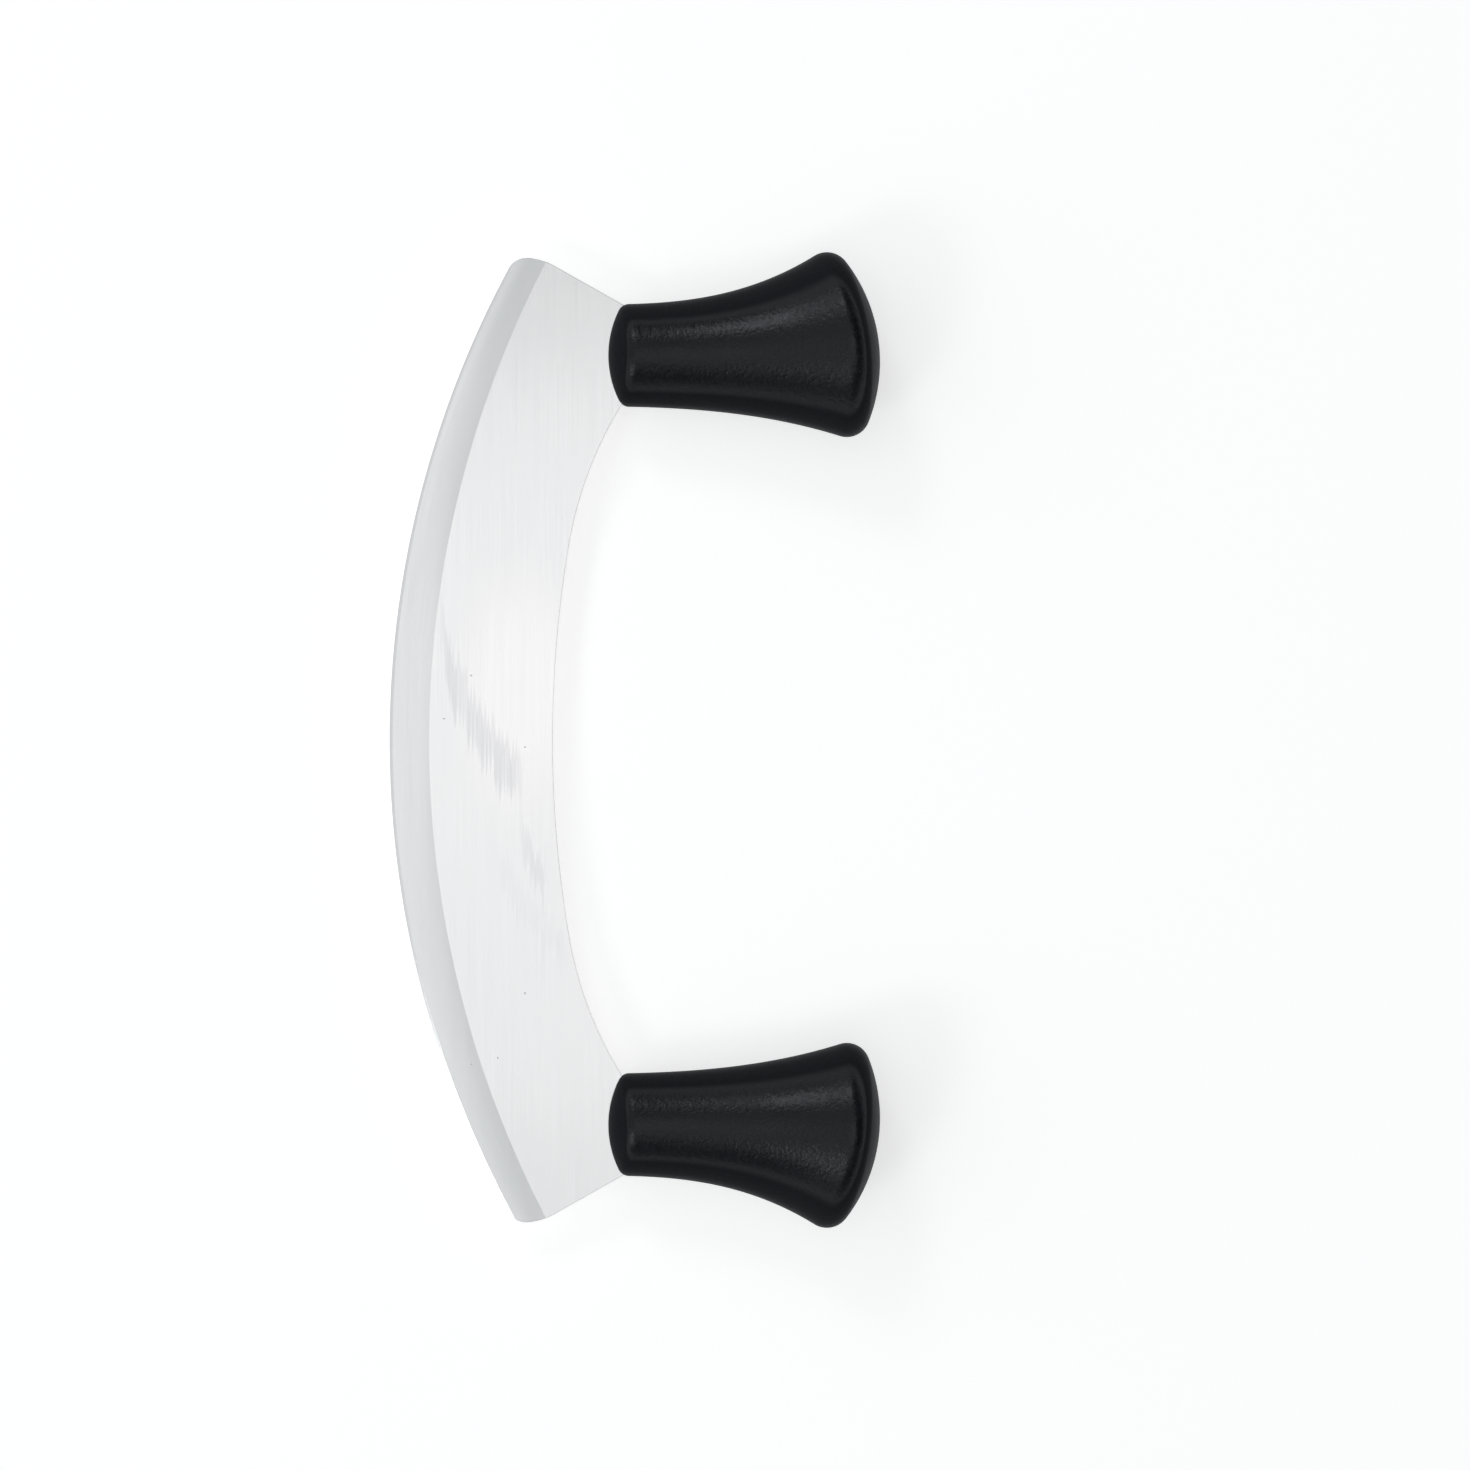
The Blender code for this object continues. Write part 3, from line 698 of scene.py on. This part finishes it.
def subtract(item, cutters):
    """Cuts the cutters out of an object, keeps the result as its mesh and removes the cutters."""
    for cutter in cutters:
        modifier = item.modifiers.new(cutter.name, "BOOLEAN")
        modifier.operation = "DIFFERENCE"
        modifier.solver = "EXACT"
        modifier.object = cutter
    evaluated = item.evaluated_get(bpy.context.evaluated_depsgraph_get())
    mesh = bpy.data.meshes.new_from_object(evaluated)
    item.modifiers.clear()
    item.data = mesh
    for cutter in cutters:
        bpy.data.objects.remove(cutter, do_unlink=True)


def add_directions(item, resting):
    """A UV map in the tool's own frame, whose U direction the steel's reflections are drawn out along."""
    layer = item.data.uv_layers.new(name="own")
    back = resting.inverted()
    for loop in item.data.loops:
        place = back @ item.data.vertices[loop.vertex_index].co
        layer.data[loop.index].uv = (place.x / BLADE_SPAN, place.y / BLADE_SPAN)


def add_piece(item, material, node):
    item.data.materials.clear()
    item.data.materials.append(material)
    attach(item, "root")
    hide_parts(node)


def make_blade(resting, material):
    blade = make_object("fine_blade", blade_mesh(), resting)
    add_directions(blade, resting)
    add_piece(blade, material, "blade")


def make_grip(name, side, resting, material):
    placement = resting @ Matrix.Translation((nose_point().x, side * nose_point().y, 0.0))
    grip = make_object("fine_" + name, handle_mesh(side, 0.0, GRIP_STEPS, GRIP_SIDES), placement)
    hollow = make_object(
        "hollow", handle_mesh(side, GRIP_WALL, HOLLOW_STEPS, HOLLOW_SIDES), placement)
    slot = make_object("slot", slot_mesh(side), placement)
    subtract(grip, [hollow, slot])
    grip.data.shade_smooth()
    grip.data.set_sharp_from_angle(angle=SHARP_ANGLE)
    add_piece(grip, material, name)


def new_material(name):
    material = bpy.data.materials.new(name)
    material.use_nodes = True
    return material, material.node_tree, material.node_tree.nodes["Principled BSDF"]


def add_node(tree, kind, settings=None, **links):
    """A node with its settings, and with its inputs set to a value or linked to another node's output.

    An input is given by its name, with _ for a space, or by the letter i and its number.
    """
    node = tree.nodes.new(kind)
    for key, value in (settings or {}).items():
        setattr(node, key, value)
    for key, value in links.items():
        socket = node.inputs[int(key[1:])] if key[1:].isdigit() else node.inputs[key.replace("_", " ")]
        if isinstance(value, bpy.types.NodeSocket):
            tree.links.new(value, socket)
        else:
            socket.default_value = value
    return node


def calculate(tree, operation, first, second=0.0, third=0.0):
    node = add_node(tree, "ShaderNodeMath", {"operation": operation}, i0=first, i1=second, i2=third)
    return node.outputs["Value"]


def remap(tree, value, limits, results=(0.0, 1.0), kind="SMOOTHSTEP"):
    """A value between two limits turned into one between two results, smoothly or in proportion."""
    node = add_node(
        tree, "ShaderNodeMapRange", {"interpolation_type": kind}, Value=value, From_Min=limits[0],
        From_Max=limits[1], To_Min=results[0], To_Max=results[1])
    return node.outputs["Result"]


def noise(tree, place, scale, detail, **links):
    node = add_node(tree, "ShaderNodeTexNoise", Vector=place, Scale=scale, Detail=detail, **links)
    return node.outputs["Fac"]


def streaks(tree, across, along, width, length, detail):
    """Noise drawn out along one direction: lines of about the given width and length."""
    place = add_node(
        tree, "ShaderNodeCombineXYZ", X=calculate(tree, "MULTIPLY", across, 1.0 / width),
        Y=calculate(tree, "MULTIPLY", along, 1.0 / length))
    return noise(tree, place.outputs[0], 1.0, detail, Roughness=LINE_NOISE_ROUGHNESS)


def mixed(tree, share, first, second):
    """A value between two others, by a share from zero to one."""
    node = add_node(tree, "ShaderNodeMix", {"data_type": "FLOAT"}, Factor=share, A=first, B=second)
    return node.outputs["Result"]


def mixed_colour(tree, share, first, second, blend="MIX"):
    """A colour between two others, or one blended with another, by a share from zero to one."""
    node = add_node(tree, "ShaderNodeMix", {"data_type": "RGBA", "blend_type": blend}, i0=share)
    for index, value in zip(MIX_COLOUR_INPUTS, (first, second)):
        if isinstance(value, bpy.types.NodeSocket):
            tree.links.new(value, node.inputs[index])
        else:
            node.inputs[index].default_value = (*value, 1.0)
    return node.outputs[MIX_COLOUR_OUTPUT]


def shaded(tree, colour, factor):
    """A colour multiplied by a factor."""
    return mixed_colour(tree, 1.0, colour, factor, "MULTIPLY")


def add_bump(tree, shader, height, strength, distance):
    bump = add_node(tree, "ShaderNodeBump", Strength=strength, Distance=distance, Height=height)
    tree.links.new(bump.outputs["Normal"], shader.inputs["Normal"])


def own_place(tree, resting):
    """A point of the surface in the tool's own frame."""
    world_place = add_node(tree, "ShaderNodeTexCoord").outputs["Object"]
    mapping = add_node(
        tree, "ShaderNodeMapping", {"vector_type": "TEXTURE"}, Vector=world_place,
        Location=resting.to_translation(), Rotation=resting.to_euler())
    return mapping.outputs["Vector"]


def blade_point(tree, resting):
    """A point of the blade in the tool's frame, and what part of the blade it belongs to.

    depth is its distance in from the cutting edge, and section_depth the same in terms of the grind's
    section in the middle. ground is one on the hollow grind, and keen one on the sharpening bevel.
    """
    place = own_place(tree, resting)
    axes = add_node(tree, "ShaderNodeSeparateXYZ", Vector=place)
    across, along = axes.outputs["X"], axes.outputs["Y"]
    inward = calculate(tree, "SUBTRACT", EDGE_RADIUS, across)
    square = calculate(tree, "MULTIPLY", along, along)
    radius = calculate(tree, "SQRT", calculate(tree, "MULTIPLY_ADD", inward, inward, square))
    depth = calculate(tree, "SUBTRACT", EDGE_RADIUS, radius)
    narrowing = (1.0 - GRIND_TIP_WIDTH / GRIND_WIDTH) / (1.0 - math.cos(edge_end_angle()))
    cosine = calculate(tree, "DIVIDE", inward, radius)
    stretch = calculate(tree, "MULTIPLY_ADD", cosine, narrowing, 1.0 - narrowing)
    section_depth = calculate(tree, "DIVIDE", depth, stretch)
    round_edge = calculate(tree, "MULTIPLY", calculate(tree, "ARCTAN2", along, inward), EDGE_RADIUS)
    ground = calculate(tree, "LESS_THAN", section_depth, GRIND_WIDTH)
    keen = calculate(tree, "LESS_THAN", section_depth, SHARPENING_WIDTH)
    return SimpleNamespace(
        place=place, across=across, along=along, depth=depth, section_depth=section_depth,
        round_edge=round_edge, ground=ground, keen=keen)


def polish_lines(tree, point):
    """Fine lines of polish: along the flats, round the grind and across the sharpening bevel."""
    flat_lines = streaks(tree, point.across, point.along, *FLAT_LINES)
    ground_lines = streaks(tree, point.depth, point.round_edge, *GRIND_LINES)
    lines = mixed(tree, point.ground, flat_lines, ground_lines)
    return mixed(tree, point.keen, lines, streaks(tree, point.round_edge, point.depth, *KEEN_LINES))


def painted_reflection_share(tree, point, start, end, half_width):
    """How much of one painted reflection lies at a point: a slanting darker band, torn by the lines of the
    polish.
    """
    run = remap(tree, point.across, (start[0], end[0]), kind="LINEAR")
    run = calculate(tree, "POWER", run, PAINTED_REFLECTION_BEND)
    middle = calculate(tree, "MULTIPLY_ADD", run, end[1] - start[1], start[1])
    columns = streaks(tree, point.across, point.along, *PAINTED_REFLECTION_LINES)
    tear = calculate(tree, "MULTIPLY_ADD", columns, PAINTED_REFLECTION_TEAR, -PAINTED_REFLECTION_TEAR / 2.0)
    offset = calculate(tree, "ADD", calculate(tree, "SUBTRACT", point.along, middle), tear)
    solid = half_width * PAINTED_REFLECTION_SOLID_SHARE
    band = remap(tree, calculate(tree, "ABSOLUTE", offset), (solid, half_width), FALLING)
    band = calculate(tree, "MULTIPLY", band, remap(tree, columns, PAINTED_REFLECTION_LINE_RANGE, PAINTED_REFLECTION_LINE_SHARES))
    opening = remap(tree, point.across, (start[0] - PAINTED_REFLECTION_FADE, start[0] + PAINTED_REFLECTION_FADE))
    closing = remap(tree, point.across, (end[0] - PAINTED_REFLECTION_FADE, end[0] + PAINTED_REFLECTION_FADE), FALLING)
    return calculate(tree, "MULTIPLY", band, calculate(tree, "MULTIPLY", opening, closing))


def strongest_painted_reflection(tree, point):
    """How much of any painted reflection lies at a point."""
    strongest = 0.0
    for start, end, half_width, strength in PAINTED_REFLECTIONS:
        share = calculate(tree, "MULTIPLY", painted_reflection_share(tree, point, start, end, half_width), strength)
        strongest = calculate(tree, "MAXIMUM", strongest, share)
    return strongest


def painted_highlight_share(tree, point):
    """How much of the painted highlight lies at a point: a soft paler oval on the flat, near the spine."""
    flat_place = add_node(tree, "ShaderNodeCombineXYZ", X=point.across, Y=point.along)
    offset = add_node(
        tree, "ShaderNodeMapping", {"vector_type": "TEXTURE"}, Vector=flat_place.outputs[0],
        Location=(*PAINTED_HIGHLIGHT_CENTRE, 0.0), Scale=(*PAINTED_HIGHLIGHT_REACH, 1.0))
    length = add_node(tree, "ShaderNodeVectorMath", {"operation": "LENGTH"}, i0=offset.outputs["Vector"])
    return remap(tree, length.outputs["Value"], (PAINTED_HIGHLIGHT_CORE_SHARE, 1.0), FALLING)


def pit_share(tree, point):
    """One at the few small pits in the steel, zero between them."""
    flat_place = add_node(tree, "ShaderNodeCombineXYZ", X=point.across, Y=point.along)
    cells = add_node(
        tree, "ShaderNodeTexVoronoi", {"voronoi_dimensions": "2D"}, Vector=flat_place.outputs[0],
        Scale=1.0 / PIT_SPACING)
    cell_value = add_node(tree, "ShaderNodeSeparateColor", Color=cells.outputs["Color"]).outputs["Red"]
    pitted = calculate(tree, "GREATER_THAN", cell_value, PIT_LIMIT)
    near = remap(tree, cells.outputs["Distance"], (0.0, PIT_RADIUS / PIT_SPACING), FALLING)
    return calculate(tree, "MULTIPLY", pitted, near)


def steel_tone(tree, point, lines, painted_reflection, pits):
    """The steel's colour: cloudy and duller on the grind, with painted highlights, painted reflections,
    painted light along the grind and painted shade towards the ends.
    """
    clouds = noise(tree, point.place, *STEEL_CLOUDS)
    flat = mixed_colour(tree, clouds, *FLAT_TONES)
    # Painted highlight: a paler oval mixed into the flat's colour
    flat = mixed_colour(tree, painted_highlight_share(tree, point), flat, PAINTED_HIGHLIGHT_TONE)
    # Painted reflection: darker bands mixed into the flat's colour
    flat = mixed_colour(tree, painted_reflection, flat, PAINTED_REFLECTION_TONE)
    ground = mixed_colour(tree, clouds, *GROUND_TONES)
    # Painted light: the grind made paler towards its shoulder
    ground = mixed_colour(tree, remap(tree, point.section_depth, SHOULDER_PAINTED_LIGHT_RANGE), ground, SHOULDER_PAINTED_LIGHT_TONE)
    # Painted light: the grind made paler towards its upper end
    ground = shaded(tree, ground, remap(tree, point.along, UPPER_GRIND_PAINTED_LIGHT_RANGE, (1.0, UPPER_GRIND_PAINTED_LIGHT_GAIN)))
    tone = mixed_colour(tree, point.ground, flat, ground)
    # Painted highlight: the sharpening bevel made much paler
    tone = mixed_colour(tree, point.keen, tone, KEEN_PAINTED_HIGHLIGHT_TONE)
    # Painted shade: the steel made darker towards both ends
    reach = calculate(tree, "ABSOLUTE", point.along)
    tone = shaded(tree, tone, remap(tree, reach, END_PAINTED_SHADE_RANGE, (1.0, END_PAINTED_SHADE)))
    bands = streaks(tree, point.across, point.along, *POLISH_BANDS)
    shade = calculate(tree, "ADD", lines, calculate(tree, "MULTIPLY", bands, BAND_WEIGHT))
    tone = shaded(tree, tone, remap(tree, shade, SHADE_LINE_RANGE, LINE_SHADES, "LINEAR"))
    return mixed_colour(tree, pits, tone, PIT_TONE)


def make_steel(resting):
    """Satin steel with the lines of its polish, painted reflections and painted highlights in its colour,
    and a few pits.
    """
    material, tree, shader = new_material("satin_steel")
    point = blade_point(tree, resting)
    lines = polish_lines(tree, point)
    # Painted reflection: the mask of the darker bands, which also makes the steel a little rougher there
    painted_reflection = strongest_painted_reflection(tree, point)
    pits = pit_share(tree, point)
    tree.links.new(steel_tone(tree, point, lines, painted_reflection, pits), shader.inputs["Base Color"])
    roughness = remap(tree, lines, ROUGH_LINE_RANGE, STEEL_ROUGHNESS_RANGE, "LINEAR")
    roughness = mixed(tree, painted_reflection, roughness, PAINTED_REFLECTION_ROUGHNESS)
    roughness = mixed(tree, pits, roughness, PIT_ROUGHNESS)
    tree.links.new(roughness, shader.inputs["Roughness"])
    shader.inputs["Metallic"].default_value = 1.0
    shader.inputs["Anisotropic"].default_value = STEEL_ANISOTROPY
    tangent = add_node(tree, "ShaderNodeTangent", {"direction_type": "UV_MAP"})
    tree.links.new(tangent.outputs["Tangent"], shader.inputs["Tangent"])
    height = calculate(tree, "SUBTRACT", lines, calculate(tree, "MULTIPLY", pits, PIT_DEPTH))
    add_bump(tree, shader, height, STEEL_BUMP_STRENGTH, STEEL_BUMP_DISTANCE)
    return material


def make_grip_plastic(resting):
    """Black plastic with a fine moulded grain, worn a little smoother in patches by the hand."""
    material, tree, shader = new_material("black_grained_plastic")
    place = own_place(tree, resting)
    clouds = noise(tree, place, *GRIP_CLOUDS)
    worn = remap(tree, noise(tree, place, *WORN_CLOUDS), WORN_CLOUD_RANGE)
    grain = noise(tree, place, 1.0 / GRIP_GRAIN_SIZE, GRIP_GRAIN_DETAIL, Roughness=GRIP_GRAIN_ROUGHNESS)
    tone = mixed_colour(tree, clouds, *GRIP_TONES)
    tone = shaded(tree, tone, remap(tree, grain, GRAIN_RANGE, FLECK_SHADES, "LINEAR"))
    tree.links.new(tone, shader.inputs["Base Color"])
    facing = add_node(tree, "ShaderNodeLayerWeight").outputs["Facing"]
    roughness = mixed(tree, worn, GRIP_ROUGHNESS, WORN_ROUGHNESS)
    unevenness = remap(tree, grain, GRAIN_RANGE, GRAIN_ROUGHNESS_SHARES)
    roughness = calculate(tree, "MULTIPLY", roughness, unevenness)
    roughness = mixed(tree, remap(tree, facing, LOW_ANGLE_RANGE), roughness, LOW_ANGLE_ROUGHNESS)
    roughness = mixed(tree, remap(tree, facing, OUTLINE_RANGE), roughness, OUTLINE_ROUGHNESS)
    tree.links.new(roughness, shader.inputs["Roughness"])
    shader.inputs["Specular IOR Level"].default_value = GRIP_GLOSS
    shader.inputs["Specular Tint"].default_value = (*GRIP_GLOSS_TINT, 1.0)
    height = calculate(tree, "MULTIPLY", grain, mixed(tree, worn, 1.0, WORN_GRAIN_SHARE))
    add_bump(tree, shader, height, GRIP_BUMP_STRENGTH, GRIP_BUMP_DISTANCE)
    return material


def make_core_plastic(resting):
    """Dark grey hard plastic of the cores, with the flow marks of its moulding."""
    material, tree, shader = new_material("grey_core_plastic")
    place = own_place(tree, resting)
    flow = noise(tree, place, *CORE_FLOW, Distortion=CORE_FLOW_DISTORTION)
    grain = noise(tree, place, 1.0 / CORE_GRAIN_SIZE, CORE_GRAIN_DETAIL)
    tree.links.new(mixed_colour(tree, flow, *CORE_TONES), shader.inputs["Base Color"])
    tree.links.new(mixed(tree, flow, *CORE_ROUGHNESS_RANGE), shader.inputs["Roughness"])
    add_bump(tree, shader, grain, CORE_BUMP_STRENGTH, CORE_BUMP_DISTANCE)
    return material


def seen_share(tree):
    """One for a ray that shows what it meets, directly, in gloss or through glass, and zero for others."""
    path = add_node(tree, "ShaderNodeLightPath")
    seen = calculate(tree, "ADD", path.outputs["Is Camera Ray"], path.outputs["Is Glossy Ray"])
    return calculate(tree, "ADD", seen, path.outputs["Is Transmission Ray"])


def make_world():
    """Studio surroundings: bright on the left and dark on the right, above a white backdrop.

    The backdrop is seen directly and in reflections, and doesn't light the tool otherwise.
    """
    world = bpy.data.worlds.new("studio")
    world.use_nodes = True
    bpy.context.scene.world = world
    tree = world.node_tree
    coordinates = add_node(tree, "ShaderNodeTexCoord")
    axes = add_node(tree, "ShaderNodeSeparateXYZ", Vector=coordinates.outputs["Generated"])
    side = remap(tree, axes.outputs["X"], WORLD_SIDE_RANGE, (WORLD_LEFT, WORLD_RIGHT))
    flank = calculate(tree, "ABSOLUTE", axes.outputs["Y"])
    side = calculate(tree, "MULTIPLY", side, remap(tree, flank, WORLD_FLANK_RANGE, (1.0, WORLD_FLANK)))
    rise = remap(tree, axes.outputs["X"], BACKDROP_RISE_RANGE, (0.0, BACKDROP_RISE))
    height = calculate(tree, "SUBTRACT", axes.outputs["Z"], rise)
    backdrop = remap(tree, height, BACKDROP_RANGE, FALLING)
    backdrop = calculate(tree, "MULTIPLY", backdrop, seen_share(tree))
    background = tree.nodes["Background"]
    tree.links.new(mixed(tree, backdrop, side, BACKDROP_STRENGTH), background.inputs["Strength"])
    tree.links.new(mixed_colour(tree, backdrop, WORLD_TONE, WHITE), background.inputs["Color"])


def make_lamp(name, off_vertical, round_vertical, width, height, radiance, colour):
    """A soft lamp that shines on the tool from an angle off the vertical and one round it, in degrees."""
    light = bpy.data.lights.new(name, "AREA")
    light.shape = "RECTANGLE"
    light.size = width
    light.size_y = height
    light.energy = radiance * math.pi * width * height
    light.color = colour
    lamp = bpy.data.objects.new(name, light)
    bpy.context.collection.objects.link(lamp)
    polar = math.radians(off_vertical)
    azimuth = math.radians(round_vertical)
    direction = Vector((
        math.sin(polar) * math.cos(azimuth), math.sin(polar) * math.sin(azimuth), math.cos(polar)))
    lamp.location = direction * LAMP_DISTANCE
    lamp.rotation_mode = "QUATERNION"
    lamp.rotation_quaternion = direction.to_track_quat("Z", "Y")


def make_floor():
    """A plain white floor, which keeps the tool's shadow."""
    mesh_data = bmesh.new()
    bmesh.ops.create_grid(
        mesh_data, x_segments=FLOOR_DIVISIONS, y_segments=FLOOR_DIVISIONS, size=FLOOR_HALF_SIZE)
    mesh = bpy.data.meshes.new("floor")
    mesh_data.to_mesh(mesh)
    mesh_data.free()
    floor = bpy.data.objects.new("floor", mesh)
    bpy.context.collection.objects.link(floor)
    material, tree, shader = new_material("white_floor")
    shader.inputs["Base Color"].default_value = (*FLOOR_TONE, 1.0)
    shader.inputs["Roughness"].default_value = FLOOR_ROUGHNESS
    shader.inputs["Specular IOR Level"].default_value = 0.0
    place = add_node(tree, "ShaderNodeTexCoord").outputs["Object"]
    reach = add_node(tree, "ShaderNodeVectorMath", {"operation": "LENGTH"}, i0=place).outputs["Value"]
    glow = remap(tree, reach, FAR_FLOOR_RANGE, (FLOOR_GLOW, FAR_FLOOR_GLOW))
    glow = calculate(tree, "MULTIPLY", seen_share(tree), glow)
    tree.links.new(glow, shader.inputs["Emission Strength"])
    shader.inputs["Emission Color"].default_value = (*WHITE, 1.0)
    mesh.materials.append(material)


def make_camera(resting):
    """A camera square to the blade, which frames the tool as the photograph does."""
    data = bpy.data.cameras.new("camera")
    data.sensor_width = SENSOR_WIDTH * MILLIMETRES_PER_METRE
    data.lens = data.sensor_width * CAMERA_DISTANCE / (PHOTO_PIXELS * METRES_PER_PIXEL)
    camera = bpy.data.objects.new("camera", data)
    bpy.context.collection.objects.link(camera)
    across = (PHOTO_PIXELS / 2.0 - PHOTO_EDGE_X) * METRES_PER_PIXEL
    along = (PHOTO_MIDDLE_Y - PHOTO_PIXELS / 2.0) * METRES_PER_PIXEL
    camera.matrix_world = resting @ Matrix.Translation((across, along, CAMERA_DISTANCE))
    bpy.context.scene.camera = camera


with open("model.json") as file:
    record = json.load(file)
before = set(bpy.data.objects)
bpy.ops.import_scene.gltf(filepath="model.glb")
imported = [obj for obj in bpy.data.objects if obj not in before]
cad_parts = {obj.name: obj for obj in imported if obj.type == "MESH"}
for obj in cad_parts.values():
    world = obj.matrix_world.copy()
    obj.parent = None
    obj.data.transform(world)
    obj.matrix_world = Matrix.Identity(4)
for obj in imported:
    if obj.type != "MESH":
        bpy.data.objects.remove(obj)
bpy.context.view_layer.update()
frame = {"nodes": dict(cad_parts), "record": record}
resting = resting_matrix(frame["record"])
steel = make_steel(resting)
grip_plastic = make_grip_plastic(resting)
core_plastic = make_core_plastic(resting)
make_blade(resting, steel)
make_grip("left_grip", 1.0, resting, grip_plastic)
make_grip("right_grip", -1.0, resting, grip_plastic)
for core_name in ("left_core", "right_core"):
    frame["nodes"][core_name].data.materials.clear()
    frame["nodes"][core_name].data.materials.append(core_plastic)
make_floor()
make_world()
for lamp_name, lamp_settings in LAMPS.items():
    make_lamp(lamp_name, *lamp_settings)
make_camera(resting)
bpy.context.scene.view_settings.view_transform = "Standard"
